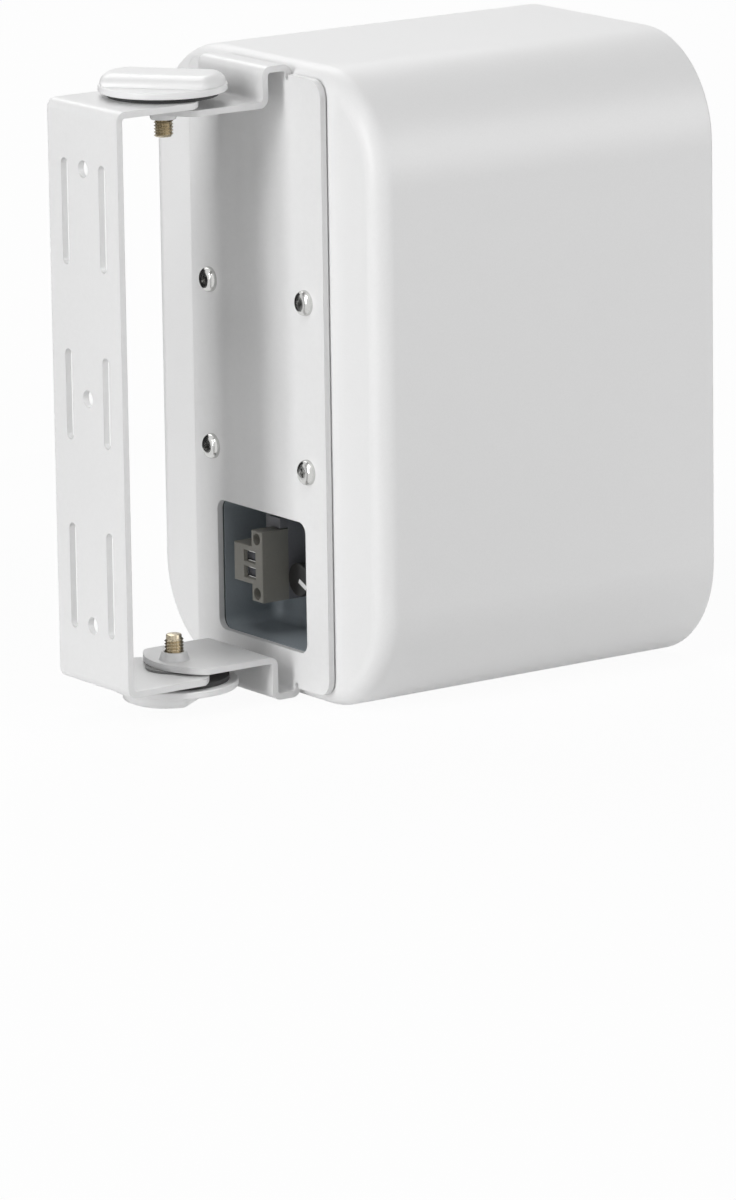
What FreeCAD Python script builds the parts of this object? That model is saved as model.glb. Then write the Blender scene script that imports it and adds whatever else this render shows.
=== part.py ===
import FreeCAD, Part
import math
import os

# Surface-mount loudspeaker on a swivelling U-bracket: front at -Y, wall at +Y, floor at Z = 0, millimetres.

# Cabinet
CABINET_W = 121.6
CABINET_H = 200.0
CABINET_D = 128.8
CORNER_R = 33.4
REAR_EDGE_R = 6.0
FRONT_EDGE_R = 1.2
WALL = 4.0
RIM_WALL = 2.2
RIM_DEPTH = 11.0
FIT_GAP = 0.3
DOME_FLAT = 0.12

# Rear plate, folded from one sheet with a stepped tab at each end
SHEET = 2.0
BEND_R = 1.0
GASKET_T = 0.6
GASKET_INSET = 3.2
PLATE_W = 71.2
PLATE_INSET = 3.8
PLATE_UP = 0.5
PLATE_CORNER_R = 5.5
TAB_W = 34.6
TAB_RISE = 3.0
TAB_DROP = 11.3
LEG_OUT = 8.5
TAB_TIP = 6.8
TAB_TIP_R = 24.0
TAB_CORNER_R = 4.0
RELIEF_W = 1.5
RELIEF_DEPTH = 1.6
COLLAR_BASE_R = 4.8
COLLAR_TOP_R = 3.9
COLLAR_H = 2.6

# Plate screws
SCREW_SPAN_X = 51.8
SCREW_SPAN_Z = 53.0
SCREW_R = 2.0
SCREW_LONG = 12.0
HEAD_R = 4.0
HEAD_H = 2.2
SCREW_GAP = 0.05
BOSS_R = 4.6
BOSS_LONG = 13.0

# U-bracket
BRACKET_W = 38.0
PIVOT_UP = 1.1
PIVOT_OUT = 33.5
WALL_OUT = 63.2
ARM_TIP = 8.0
ARM_TIP_R = 24.0
ARM_CORNER_R = 1.5
SLOT_X = 10.24
SLOT_W = 3.6
SLOT_LONG = 33.0
SLOT_SPAN = 113.6
SLOT_MID = 28.3
HOLE_R = 2.65
HOLE_SPAN = 142.0

# Pivot bolts and knobs
WASHER_T = 0.7
WASHER_R = 9.0
BOLT_R = 3.0
BOLT_GAP = 0.1
BOLT_OUT = 5.5
BOLT_TIP = 0.8
BOLT_HEAD_W = 10.0
BOLT_HEAD_H = 4.0
KNOB_R = 19.8
KNOB_HUB_R = 7.5
KNOB_HUB_H = 1.5
KNOB_RIM_H = 2.2
KNOB_LIP_R = 0.4
KNOB_BAR_W = 13.5
KNOB_BAR_H = 3.6
KNOB_BAR_END_H = 2.4
KNOB_BAR_END_R = 1.6
KNOB_CROWN_R = 130.0
KNOB_BAR_EDGE_R = 1.0
KNOB_BAR_INSET = 0.3
UPPER_KNOB_TURN = 17.0
LOWER_KNOB_TURN = 121.0

# Terminal recess
RECESS_W = 48.0
RECESS_H = 41.5
RECESS_Z = 36.7
RECESS_R = 3.5
RECESS_DEPTH = 20.0
CUP_WALL = 1.8
CUP_FLANGE = 3.5
CUP_FLANGE_T = 1.5
CUP_INNER_R = 4.0

# Plug and header, placed from the middle of the recess
PLUG_X = 8.4
PLUG_Z = 2.3
PLUG_W = 15.4
PLUG_H = 12.2
PLUG_LONG = 10.0
PLUG_SINK = 0.6
PLUG_EDGE_R = 0.4
EAR_W = 5.8
EAR_H = 5.2
EAR_HOLE_R = 1.9
EAR_SCREW_R = 1.7
EAR_SCREW_SINK = 2.4
EAR_SCREW_LONG = 5.0
POLE_PITCH = 5.08
ENTRY_W = 6.4
ENTRY_H = 3.8
ENTRY_X = -0.9
ENTRY_DEPTH = 8.0
CLAMP_WALL = 0.5
CLAMP_SINK = 1.0
CLAMP_SCREW_R = 1.3
HEADER_W = 12.0
KEY_W = 6.0
KEY_H = 3.6
KEY_LONG = 15.0

# Tap selector, placed from the middle of the recess
TAP_X = -6.2
TAP_Z = -1.4
TAP_KNOB_R = 5.4
TAP_KNOB_LONG = 8.0
TAP_NOTCHES = 12
TAP_NOTCH_R = 0.5
TAP_SHAFT_R = 2.0
TAP_SHAFT_LONG = 9.0
TAP_BUSH_R = 3.6
TAP_BODY_W = 16.0
TAP_BODY_LONG = 10.0
TAP_STAND = 0.6

# Baffle, grille and their fixings
BAFFLE_T = 6.0
BAFFLE_SCREW_R = 1.5
BAFFLE_SCREW_LONG = 14.0
BAFFLE_HEAD_R = 3.2
BAFFLE_HEAD_H = 2.2
BAFFLE_BOSS_R = 4.2
BAFFLE_BOSS_LONG = 16.0
BAFFLE_BOSS_IN = 2.6
GRILLE_T = 1.0
GRILLE_INSET = 0.6
GRILLE_EDGE_R = 1.0
CLOTH_T = 0.6

# Woofer: its axis below the cabinet's middle, its other sizes from that axis and the baffle's front face
WOOFER_DOWN = 30.0
WOOFER_FLANGE_R = 53.0
WOOFER_FLANGE_T = 1.6
WOOFER_HOLE_R = 46.5
BASKET_T = 1.4
BASKET_SKIRT = 10.0
BASKET_LEDGE_R = 33.0
BASKET_LEDGE = 24.0
BASKET_BASE_R = 25.0
BASKET_DEEP = 33.0
BASKET_WINDOWS = 4
WINDOW_W = 26.0
TOP_PLATE_R = 32.0
TOP_PLATE_T = 4.0
MAGNET_R = 35.0
MAGNET_BORE_R = 16.0
MAGNET_T = 12.0
BACK_PLATE_T = 4.5
COIL_R = 10.0
COIL_WALL = 0.4
WINDING_T = 0.5
WINDING_LONG = 6.0
COIL_GAP = 0.35
CONE_R = 38.0
CONE_T = 0.8
CONE_LIP = 4.0
CONE_DEEP = 20.0
CONE_NECK = 3.0
CAP_R = 14.0
CAP_RISE = 5.0
CAP_T = 0.6
SURROUND_FOOT = 2.3
SURROUND_T = 0.8
SURROUND_RISE = 3.6
SPIDER_T = 0.6
SPIDER_WAVE = 1.6
SPIDER_RINGS = 4
WOOFER_SCREW_RING_R = 50.0
WOOFER_SCREWS = 4
DRIVER_SCREW_R = 1.4
DRIVER_HEAD_R = 2.4
DRIVER_HEAD_H = 1.4
DRIVER_SCREW_LONG = 5.4

# Tweeter: its axis above the cabinet's middle, its other sizes like the woofer's
TWEETER_UP = 52.0
TWEETER_R = 26.0
TWEETER_PLATE_T = 3.0
TWEETER_MOUTH_R = 18.0
TWEETER_THROAT_R = 13.6
TWEETER_HOLE_R = 20.0
DOME_R = 12.6
DOME_RISE = 4.4
DOME_T = 0.5
DOME_COIL = 2.4
TWEETER_MAGNET_R = 19.0
TWEETER_MAGNET_T = 14.0
TWEETER_POCKET = 3.4
TWEETER_SCREW_RING_R = 22.5
TWEETER_SCREWS = 3

# Inside the cabinet: crossover board, line transformer and wadding
BOARD_W = 76.0
BOARD_H = 38.0
BOARD_T = 1.6
BOARD_POST_R = 3.0
BOARD_POST_H = 6.0
BOARD_POST_X = 33.0
BOARD_SCREW_R = 1.3
BOARD_SCREW_LONG = 6.0
BOARD_HEAD_R = 2.4
BOARD_HEAD_H = 1.4
CHOKE_R = 13.0
CHOKE_BORE_R = 6.0
CHOKE_H = 11.0
CHOKE_X = -14.0
CAPACITOR_W = 11.0
CAPACITOR_H = 24.0
CAPACITOR_T = 15.0
CAPACITOR_X = (8.0, 22.0)
CAPACITOR_R = 1.0
TRANSFORMER_UP = 58.0
CORE_W = 48.0
CORE_H = 40.0
CORE_T = 16.0
CORE_LIMB = 8.0
CORE_MIDDLE = 16.0
WINDING_BULGE = 6.5
WINDING_GAP = 0.4
STRAP_T = 1.2
STRAP_FOOT = 9.0
STRAP_W = 14.0
STRAP_STAND = 8.0
WADDING_T = 12.0
WADDING_H = 70.0
WADDING_D = 60.0
WADDING_R = 4.0
WADDING_BACK = 12.0

# Places worked out from the sizes above
MID_Z = CABINET_H / 2
PLATE_Z = MID_Z + PLATE_UP
PIVOT_Z = MID_Z + PIVOT_UP
OVERALL_D = CABINET_D + GASKET_T + SHEET + WALL_OUT
FRONT = -OVERALL_D / 2
REAR = FRONT + CABINET_D
BAFFLE = FRONT + RIM_DEPTH
LEDGE = BAFFLE + BAFFLE_T
BACK_IN = REAR - WALL
PLATE_IN = REAR + GASKET_T
PLATE_OUT = PLATE_IN + SHEET
LEG = PLATE_OUT + LEG_OUT
PIVOT = PLATE_OUT + PIVOT_OUT
WALL_FACE = PLATE_OUT + WALL_OUT
PLATE_H = CABINET_H - 2 * PLATE_INSET
STEP_Z = PLATE_H / 2 + TAB_RISE
TAB_Z = STEP_Z - TAB_DROP
ARM_IN_Z = TAB_Z + WASHER_T
ARM_Z = ARM_IN_Z + SHEET
CUP_BACK = REAR - RECESS_DEPTH
BOARD = BACK_IN - BOARD_POST_H
BOARD_Z = MID_Z
WOOFER_Z = MID_Z - WOOFER_DOWN
TWEETER_Z = MID_Z + TWEETER_UP
TRANSFORMER_Z = MID_Z + TRANSFORMER_UP


def at(x, y, z):
    return FreeCAD.Vector(x, y, z)


def block(x0, x1, y0, y1, z0, z1):
    return Part.makeBox(x1 - x0, y1 - y0, z1 - z0, at(x0, y0, z0))


def rod(radius, start, end):
    line = end - start
    return Part.makeCylinder(radius, line.Length, start, line)


def panel(width, height, radius, y0, y1, x=0.0, z=MID_Z):
    """Prism along Y whose front view is a rounded rectangle."""
    body = block(x - width / 2, x + width / 2, y0, y1, z - height / 2, z + height / 2)
    corners = [edge for edge in body.Edges if abs(edge.tangentAt(edge.FirstParameter).y) > 0.99]
    return body.makeFillet(radius, corners)


def rounded_loop(body, y, radius):
    """Round every edge that lies in the plane Y = y."""
    loop = [edge for edge in body.Edges
            if abs(edge.BoundBox.YMin - y) + abs(edge.BoundBox.YMax - y) < 1e-4]
    return body.makeFillet(radius, loop)


def outline(corners):
    """Flat face through (point, radius) corners, each corner rounded by its radius."""
    enters = []
    leaves = []
    arcs = []
    for index, (point, radius) in enumerate(corners):
        before = (corners[index - 1][0] - point).normalize()
        after = (corners[(index + 1) % len(corners)][0] - point).normalize()
        half = before.getAngle(after) / 2
        reach = radius / math.tan(half)
        enters.append(point + before * reach)
        leaves.append(point + after * reach)
        arcs.append(point + (before + after).normalize() * (radius / math.sin(half) - radius))
    edges = []
    for index, (point, radius) in enumerate(corners):
        edges.append(Part.makeLine(leaves[index - 1], enters[index]))
        if radius > 0:
            edges.append(Part.Arc(enters[index], arcs[index], leaves[index]).toShape())
    return Part.Face(Part.Wire(edges))


def outward(solid):
    """A revolved or extruded solid with its faces turned outwards."""
    if solid.Volume < 0:
        solid.reverse()
    return solid


def turned_y(profile, z, x=0.0):
    """Solid of revolution about a Y axis; the profile is (radius, y) corners or ready edges."""
    if isinstance(profile[0], tuple):
        points = [at(radius, y, 0) for radius, y in profile]
        wire = Part.makePolygon(points + points[:1])
    else:
        wire = Part.Wire(Part.sortEdges(profile)[0])
    solid = outward(Part.Face(wire).revolve(at(0, 0, 0), at(0, 1, 0), 360))
    solid.translate(at(x, 0, z))
    return solid


def turned_z(corners):
    """Solid of revolution about the pivot axis; the profile is ((radius, z), rounding) corners."""
    face = outline([(at(radius, PIVOT, z), rounding) for (radius, z), rounding in corners])
    return outward(face.revolve(at(0, PIVOT, 0), at(0, 0, 1), 360))


def arc(first, middle, last):
    """Edge through three (radius, y) points of a turned profile."""
    return Part.Arc(*[at(radius, y, 0) for radius, y in (first, middle, last)]).toShape()


def line(first, last):
    return Part.makeLine(at(first[0], first[1], 0), at(last[0], last[1], 0))


def dome(radius, foot, top):
    """Edges of a shallow dome from its foot circle up to a small flat on its axis."""
    flat = radius * DOME_FLAT
    middle = (radius * 0.75, foot + (top - foot) * 0.62)
    return [arc((radius, foot), middle, (flat, top)), line((flat, top), (0, top))]


def fused(solids):
    return solids[0].multiFuse(solids[1:]).removeSplitter()


def corners_of(span_x, span_z, z):
    return [(sx * span_x / 2, z + sz * span_z / 2) for sx in (-1, 1) for sz in (-1, 1)]


def mirrored(solid, z=PIVOT_Z):
    """Copy on the other side of a height, by default the bracket's middle."""
    return outward(solid.mirror(at(0, 0, z), at(0, 0, 1)))


def round_tip(solid, width, tip, radius, corner_r, ahead):
    """Cut a sheet's end to an arc across its width with rounded corners; ahead is 1 towards +Y or -1."""
    middle = tip - ahead * radius
    end = tip + ahead * SHEET
    waste = block(-width, width, min(middle, end), max(middle, end), 0, CABINET_H)
    solid = solid.cut(waste.cut(rod(radius, at(0, middle, 0), at(0, middle, CABINET_H))))
    side_y = middle + ahead * math.sqrt(radius ** 2 - (width / 2) ** 2)
    corners = [edge for edge in solid.Edges
               if abs(edge.tangentAt(edge.FirstParameter).z) > 0.99
               and abs(edge.BoundBox.Center.y - side_y) < 0.01
               and abs(abs(edge.BoundBox.Center.x) - width / 2) < 0.01]
    return solid.makeFillet(corner_r, corners)


def plate_screw_places():
    return corners_of(SCREW_SPAN_X, SCREW_SPAN_Z, PLATE_Z)


def baffle_screw_places():
    reach = (CORNER_R - WALL - BAFFLE_BOSS_IN) / math.sqrt(2)
    places = corners_of(CABINET_W - 2 * CORNER_R + 2 * reach, CABINET_H - 2 * CORNER_R + 2 * reach, MID_Z)
    side = CABINET_W / 2 - WALL - BAFFLE_BOSS_IN
    return places + [(-side, MID_Z), (side, MID_Z)]


def ring_places(count, radius, z, start):
    turns = [start + 2 * math.pi * index / count for index in range(count)]
    return [(radius * math.cos(turn), z + radius * math.sin(turn)) for turn in turns]


def woofer_screw_places():
    return ring_places(WOOFER_SCREWS, WOOFER_SCREW_RING_R, WOOFER_Z, math.pi / 4)


def tweeter_screw_places():
    return ring_places(TWEETER_SCREWS, TWEETER_SCREW_RING_R, TWEETER_Z, math.pi / 2)


def front_screws(places, seat, radius, length, head_r, head_h):
    """Domed screws driven from the front, with the underside of each head at Y = seat."""
    screws = []
    for x, z in places:
        shank = rod(radius, at(x, seat, z), at(x, seat + length, z))
        brow = seat - head_h / 3
        head = turned_y([line((0, seat), (head_r, seat)), line((head_r, seat), (head_r, brow))]
                        + dome(head_r, brow, seat - head_h) + [line((0, seat - head_h), (0, seat))], z, x)
        screws.append(shank.fuse(head))
    return Part.makeCompound(screws)


def cabinet_shell():
    shell = panel(CABINET_W, CABINET_H, CORNER_R, FRONT, REAR)
    shell = rounded_loop(shell, REAR, REAR_EDGE_R)
    shell = rounded_loop(shell, FRONT, FRONT_EDGE_R)
    rim = panel(CABINET_W - 2 * RIM_WALL, CABINET_H - 2 * RIM_WALL, CORNER_R - RIM_WALL, FRONT, LEDGE)
    hollow = panel(CABINET_W - 2 * WALL, CABINET_H - 2 * WALL, CORNER_R - WALL, LEDGE, BACK_IN)
    shell = shell.cut(rim.fuse(hollow))
    bosses = [rod(BOSS_R, at(x, BACK_IN - BOSS_LONG, z), at(x, BACK_IN, z)) for x, z in plate_screw_places()]
    bosses += [rod(BAFFLE_BOSS_R, at(x, LEDGE, z), at(x, LEDGE + BAFFLE_BOSS_LONG, z))
               for x, z in baffle_screw_places()]
    bosses += [rod(BOARD_POST_R, at(x, BOARD, BOARD_Z), at(x, BACK_IN, BOARD_Z))
               for x in (-BOARD_POST_X, BOARD_POST_X)]
    shell = fused([shell] + bosses)
    holes = [rod(SCREW_R + SCREW_GAP, at(x, PLATE_OUT - SCREW_LONG - FIT_GAP, z), at(x, REAR, z))
             for x, z in plate_screw_places()]
    holes += [rod(BAFFLE_SCREW_R + SCREW_GAP, at(x, LEDGE, z), at(x, LEDGE + BAFFLE_SCREW_LONG, z))
              for x, z in baffle_screw_places()]
    holes += [rod(BOARD_SCREW_R + SCREW_GAP, at(x, BOARD, BOARD_Z), at(x, BOARD + BOARD_SCREW_LONG, BOARD_Z))
              for x in (-BOARD_POST_X, BOARD_POST_X)]
    outer_w = RECESS_W + 2 * CUP_WALL
    outer_h = RECESS_H + 2 * CUP_WALL
    holes.append(panel(outer_w + 2 * FIT_GAP, outer_h + 2 * FIT_GAP, RECESS_R + CUP_WALL + FIT_GAP,
                       BACK_IN, REAR, z=RECESS_Z))
    holes.append(panel(outer_w + 2 * CUP_FLANGE + 2 * FIT_GAP, outer_h + 2 * CUP_FLANGE + 2 * FIT_GAP,
                       RECESS_R + CUP_WALL + CUP_FLANGE + FIT_GAP, REAR - CUP_FLANGE_T, REAR, z=RECESS_Z))
    return shell.cut(holes[0].multiFuse(holes[1:]))


def tab_corners(side):
    """Section of the upper (side 1) or lower (side -1) stepped tab as ((y, z), radius) corners."""
    outer_r = BEND_R + SHEET
    tip = PIVOT + TAB_TIP
    step = PLATE_Z + side * STEP_Z
    step_in = step - side * SHEET
    tab = PIVOT_Z + side * TAB_Z
    tab_in = tab - side * SHEET
    return [((PLATE_IN, step), outer_r), ((LEG, step), outer_r), ((LEG, tab), BEND_R), ((tip, tab), 0),
            ((tip, tab_in), 0), ((LEG - SHEET, tab_in), outer_r), ((LEG - SHEET, step_in), BEND_R),
            ((PLATE_OUT, step_in), BEND_R)]


def rear_plate():
    """Flat plate and two stepped tabs as one folded sheet with drawn collars for the pivot bolts."""
    section = tab_corners(1) + tab_corners(-1)[::-1]
    face = outline([(at(-TAB_W / 2, y, z), radius) for (y, z), radius in section])
    folded = outward(face.extrude(at(TAB_W, 0, 0)))
    folded = round_tip(folded, TAB_W, PIVOT + TAB_TIP, TAB_TIP_R, TAB_CORNER_R, 1)
    plate = panel(PLATE_W, PLATE_H, PLATE_CORNER_R, PLATE_IN, PLATE_OUT, z=PLATE_Z).fuse(folded)
    collar_z = PIVOT_Z + TAB_Z - SHEET
    collar = Part.makeCone(COLLAR_TOP_R, COLLAR_BASE_R, COLLAR_H, at(0, PIVOT, collar_z - COLLAR_H))
    plate = fused([plate, collar, mirrored(collar)])
    cuts = [rod(BOLT_R + BOLT_GAP, at(0, PIVOT, 0), at(0, PIVOT, CABINET_H))]
    cuts.append(panel(RECESS_W, RECESS_H, RECESS_R, PLATE_IN, PLATE_OUT, z=RECESS_Z))
    cuts += [rod(SCREW_R + FIT_GAP, at(x, PLATE_IN, z), at(x, PLATE_OUT, z))
             for x, z in plate_screw_places()]
    for side in (-1, 1):
        inner = side * TAB_W / 2
        outer = side * (TAB_W / 2 + RELIEF_W)
        notch = block(min(inner, outer), max(inner, outer), PLATE_IN, PLATE_OUT,
                      PLATE_Z + PLATE_H / 2 - RELIEF_DEPTH, PLATE_Z + PLATE_H / 2)
        cuts += [notch, mirrored(notch, PLATE_Z)]
    return plate.cut(cuts[0].multiFuse(cuts[1:]))


def plate_gasket():
    gasket = panel(PLATE_W - 2 * GASKET_INSET, PLATE_H - 2 * GASKET_INSET, PLATE_CORNER_R,
                   REAR, PLATE_IN, z=PLATE_Z)
    window = panel(RECESS_W + 2 * FIT_GAP, RECESS_H + 2 * FIT_GAP, RECESS_R, REAR, PLATE_IN, z=RECESS_Z)
    gasket = gasket.cut(window)
    holes = [rod(SCREW_R + FIT_GAP, at(x, REAR, z), at(x, PLATE_IN, z)) for x, z in plate_screw_places()]
    return gasket.cut(holes[0].multiFuse(holes[1:]))


def plate_screws():
    """Pan-head screws with a cross recess, driven from behind."""
    screws = []
    for x, z in plate_screw_places():
        shank = rod(SCREW_R, at(x, PLATE_OUT - SCREW_LONG, z), at(x, PLATE_OUT, z))
        top = PLATE_OUT + HEAD_H
        edge = PLATE_OUT + HEAD_H / 3
        under = [line((0, PLATE_OUT), (HEAD_R, PLATE_OUT)), line((HEAD_R, PLATE_OUT), (HEAD_R, edge))]
        head = turned_y(under + dome(HEAD_R, edge, top) + [line((0, top), (0, PLATE_OUT))], z, x)
        arm = HEAD_R * 0.5
        half = HEAD_R * 0.11
        cross = block(x - arm, x + arm, PLATE_OUT + HEAD_H / 3, top, z - half, z + half)
        cross = cross.fuse(block(x - half, x + half, PLATE_OUT + HEAD_H / 3, top, z - arm, z + arm))
        screws.append(shank.fuse(head).cut(cross))
    return Part.makeCompound(screws)


def wall_slot(x, z, length):
    """Upright slot with round ends through the bracket's wall plate."""
    reach = (length - SLOT_W) / 2
    inner = WALL_FACE - SHEET
    straight = block(x - SLOT_W / 2, x + SLOT_W / 2, inner, WALL_FACE, z - reach, z + reach)
    ends = [rod(SLOT_W / 2, at(x, inner, z + side * reach), at(x, WALL_FACE, z + side * reach))
            for side in (-1, 1)]
    return straight.multiFuse(ends)


def wall_bracket():
    """U-shaped strap: wall plate with slots and holes, and two arms with arched ends round the pivot."""
    tip = PIVOT - ARM_TIP
    inner_y = WALL_FACE - SHEET
    outer_r = BEND_R + SHEET
    section = [((WALL_FACE, -ARM_Z), outer_r), ((WALL_FACE, ARM_Z), outer_r), ((tip, ARM_Z), 0),
               ((tip, ARM_IN_Z), 0), ((inner_y, ARM_IN_Z), BEND_R), ((inner_y, -ARM_IN_Z), BEND_R),
               ((tip, -ARM_IN_Z), 0), ((tip, -ARM_Z), 0)]
    face = outline([(at(-BRACKET_W / 2, y, PIVOT_Z + z), radius) for (y, z), radius in section])
    strap = outward(face.extrude(at(BRACKET_W, 0, 0)))
    strap = round_tip(strap, BRACKET_W, tip, ARM_TIP_R, ARM_CORNER_R, -1)
    cuts = [rod(BOLT_R + BOLT_GAP, at(0, PIVOT, 0), at(0, PIVOT, CABINET_H))]
    for side in (-1, 1):
        cuts += [wall_slot(side * SLOT_X, PIVOT_Z + up * SLOT_SPAN / 2, SLOT_LONG) for up in (-1, 1)]
        cuts.append(wall_slot(side * SLOT_X, PIVOT_Z, SLOT_MID))
    for up in (-1, 0, 1):
        z = PIVOT_Z + up * HOLE_SPAN / 2
        cuts.append(rod(HOLE_R, at(0, inner_y, z), at(0, WALL_FACE, z)))
    return strap.cut(cuts[0].multiFuse(cuts[1:]))


def friction_washers():
    low = PIVOT_Z + TAB_Z
    washer = rod(WASHER_R, at(0, PIVOT, low), at(0, PIVOT, low + WASHER_T))
    washer = washer.cut(rod(BOLT_R + BOLT_GAP, at(0, PIVOT, low), at(0, PIVOT, low + WASHER_T)))
    return Part.makeCompound([washer, mirrored(washer)])


def bolt_head(clearance, low, high):
    """Hexagonal prism about the pivot axis."""
    reach = (BOLT_HEAD_W / 2 + clearance) / math.cos(math.pi / 6)
    turns = [math.pi / 3 * index for index in range(6)]
    points = [at(reach * math.cos(turn), PIVOT + reach * math.sin(turn), low) for turn in turns]
    return outward(Part.Face(Part.makePolygon(points + points[:1])).extrude(at(0, 0, high - low)))


def upper_bolt():
    seat = PIVOT_Z + ARM_Z
    end = PIVOT_Z + TAB_Z - SHEET - COLLAR_H - BOLT_OUT
    shank = turned_z([((0, end), 0), ((BOLT_R - BOLT_TIP, end), 0), ((BOLT_R, end + BOLT_TIP), 0),
                      ((BOLT_R, seat), 0), ((0, seat), 0)])
    return shank.fuse(bolt_head(0, seat, seat + BOLT_HEAD_H)).removeSplitter()


def knob_bar(foot):
    """Crowned grip along X over the knob's full width, its ends on the knob's circle."""
    reach = KNOB_R - KNOB_BAR_INSET
    half = KNOB_BAR_W / 2
    shoulder = foot + KNOB_BAR_END_H
    profile = [((-reach, foot), 0), ((reach, foot), 0), ((reach, shoulder), KNOB_BAR_END_R),
               ((0, foot + KNOB_BAR_H), KNOB_CROWN_R), ((-reach, shoulder), KNOB_BAR_END_R)]
    face = outline([(at(x, PIVOT - half, z), radius) for (x, z), radius in profile])
    bar = outward(face.extrude(at(0, KNOB_BAR_W, 0)))
    upper = [edge for edge in bar.Edges
             if abs(edge.BoundBox.YLength) < 1e-4 and edge.BoundBox.ZMax > foot + KNOB_BAR_EDGE_R]
    bar = bar.makeFillet(KNOB_BAR_EDGE_R, upper)
    return bar.common(rod(reach, at(0, PIVOT, foot), at(0, PIVOT, foot + KNOB_BAR_H)))


def hand_knob(turn):
    """Rimmed disc with a grip bar turned to an angle in degrees, hollowed below for the bolt's head."""
    seat = PIVOT_Z + ARM_Z
    disc = seat + KNOB_HUB_H
    rim = disc + KNOB_RIM_H
    knob = turned_z([((0, seat), 0), ((KNOB_HUB_R, seat), 0), ((KNOB_HUB_R, disc), 0),
                     ((KNOB_R, disc), KNOB_LIP_R), ((KNOB_R, rim), KNOB_LIP_R), ((0, rim), 0)])
    bar = knob_bar(rim)
    bar.rotate(at(0, PIVOT, 0), at(0, 0, 1), turn)
    return fused([knob, bar]).cut(bolt_head(SCREW_GAP, seat, seat + BOLT_HEAD_H + SCREW_GAP))


def terminal_cup():
    outer_w = RECESS_W + 2 * CUP_WALL
    outer_h = RECESS_H + 2 * CUP_WALL
    cup = panel(outer_w, outer_h, RECESS_R + CUP_WALL, CUP_BACK - CUP_WALL, REAR, z=RECESS_Z)
    flange = panel(outer_w + 2 * CUP_FLANGE, outer_h + 2 * CUP_FLANGE, RECESS_R + CUP_WALL + CUP_FLANGE,
                   REAR - CUP_FLANGE_T, REAR, z=RECESS_Z)
    space = panel(RECESS_W, RECESS_H, RECESS_R, CUP_BACK, REAR, z=RECESS_Z)
    space = rounded_loop(space, CUP_BACK, CUP_INNER_R * 0.8)
    hole = rod(TAP_BUSH_R + FIT_GAP, at(TAP_X, CUP_BACK - CUP_WALL, RECESS_Z + TAP_Z),
               at(TAP_X, CUP_BACK, RECESS_Z + TAP_Z))
    return cup.fuse(flange).removeSplitter().cut(space.fuse(hole))


def plug_front():
    return PLATE_OUT - PLUG_SINK


def header_front():
    return plug_front() - PLUG_LONG


def ear_places():
    x = PLUG_X - PLUG_W / 2 + EAR_W / 2
    reach = PLUG_H / 2 + EAR_H / 2
    return [(x, RECESS_Z + PLUG_Z + side * reach) for side in (-1, 1)]


def pole_places():
    return [RECESS_Z + PLUG_Z + side * POLE_PITCH / 2 for side in (-1, 1)]


def terminal_header():
    """Socket block on the recess floor with a raised key above the plug."""
    left = PLUG_X - PLUG_W / 2
    low = RECESS_Z + PLUG_Z - PLUG_H / 2 - EAR_H
    high = RECESS_Z + PLUG_Z + PLUG_H / 2 + EAR_H
    body = block(left, left + HEADER_W, CUP_BACK, header_front(), low, high + KEY_H)
    key = block(left, left + KEY_W, CUP_BACK, CUP_BACK + KEY_LONG, high + FIT_GAP, high + KEY_H)
    return fused([body, key])


def terminal_plug():
    front = plug_front()
    back = header_front()
    left = PLUG_X - PLUG_W / 2
    middle = RECESS_Z + PLUG_Z
    body = block(left, left + PLUG_W, back, front, middle - PLUG_H / 2, middle + PLUG_H / 2)
    reach = PLUG_H / 2 + EAR_H
    ears = block(left, left + EAR_W, back, front, middle - reach, middle + reach)
    body = rounded_loop(fused([body, ears]), front, PLUG_EDGE_R)
    cuts = [rod(EAR_HOLE_R, at(x, back, z), at(x, front, z)) for x, z in ear_places()]
    entry_x = PLUG_X + ENTRY_X
    for z in pole_places():
        cuts.append(block(entry_x - ENTRY_W / 2, entry_x + ENTRY_W / 2, front - ENTRY_DEPTH, front,
                          z - ENTRY_H / 2, z + ENTRY_H / 2))
        screw_y = front - ENTRY_DEPTH / 2
        cuts.append(rod(CLAMP_SCREW_R + SCREW_GAP, at(entry_x, screw_y, z), at(left + PLUG_W, screw_y, z)))
    return body.cut(cuts[0].multiFuse(cuts[1:]))


def wire_clamps():
    """Metal cages that line the two wire entries."""
    entry_x = PLUG_X + ENTRY_X
    front = plug_front() - CLAMP_SINK
    back = plug_front() - ENTRY_DEPTH
    half_w = ENTRY_W / 2 - SCREW_GAP
    half_h = ENTRY_H / 2 - SCREW_GAP
    cages = []
    for z in pole_places():
        cage = block(entry_x - half_w, entry_x + half_w, back, front, z - half_h, z + half_h)
        space = block(entry_x - half_w + CLAMP_WALL, entry_x + half_w - CLAMP_WALL, back, front,
                      z - half_h + CLAMP_WALL, z + half_h - CLAMP_WALL)
        cages.append(cage.cut(space))
    return Part.makeCompound(cages)


def clamp_screws():
    start = PLUG_X + ENTRY_X + ENTRY_W / 2
    end = PLUG_X + PLUG_W / 2 - CLAMP_SINK
    y = plug_front() - ENTRY_DEPTH / 2
    screws = []
    for z in pole_places():
        slot = block(end - CLAMP_SINK / 2, end, y - CLAMP_SCREW_R, y + CLAMP_SCREW_R,
                     z - CLAMP_WALL / 2, z + CLAMP_WALL / 2)
        screws.append(rod(CLAMP_SCREW_R, at(start, y, z), at(end, y, z)).cut(slot))
    return Part.makeCompound(screws)


def ear_screws():
    front = plug_front() - EAR_SCREW_SINK
    back = header_front()
    screws = []
    for x, z in ear_places():
        slot = block(x - EAR_SCREW_R, x + EAR_SCREW_R, front - CLAMP_SINK, front,
                     z - CLAMP_WALL / 2, z + CLAMP_WALL / 2)
        screws.append(rod(EAR_SCREW_R, at(x, back, z), at(x, front, z)).cut(slot))
    return Part.makeCompound(screws)


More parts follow.
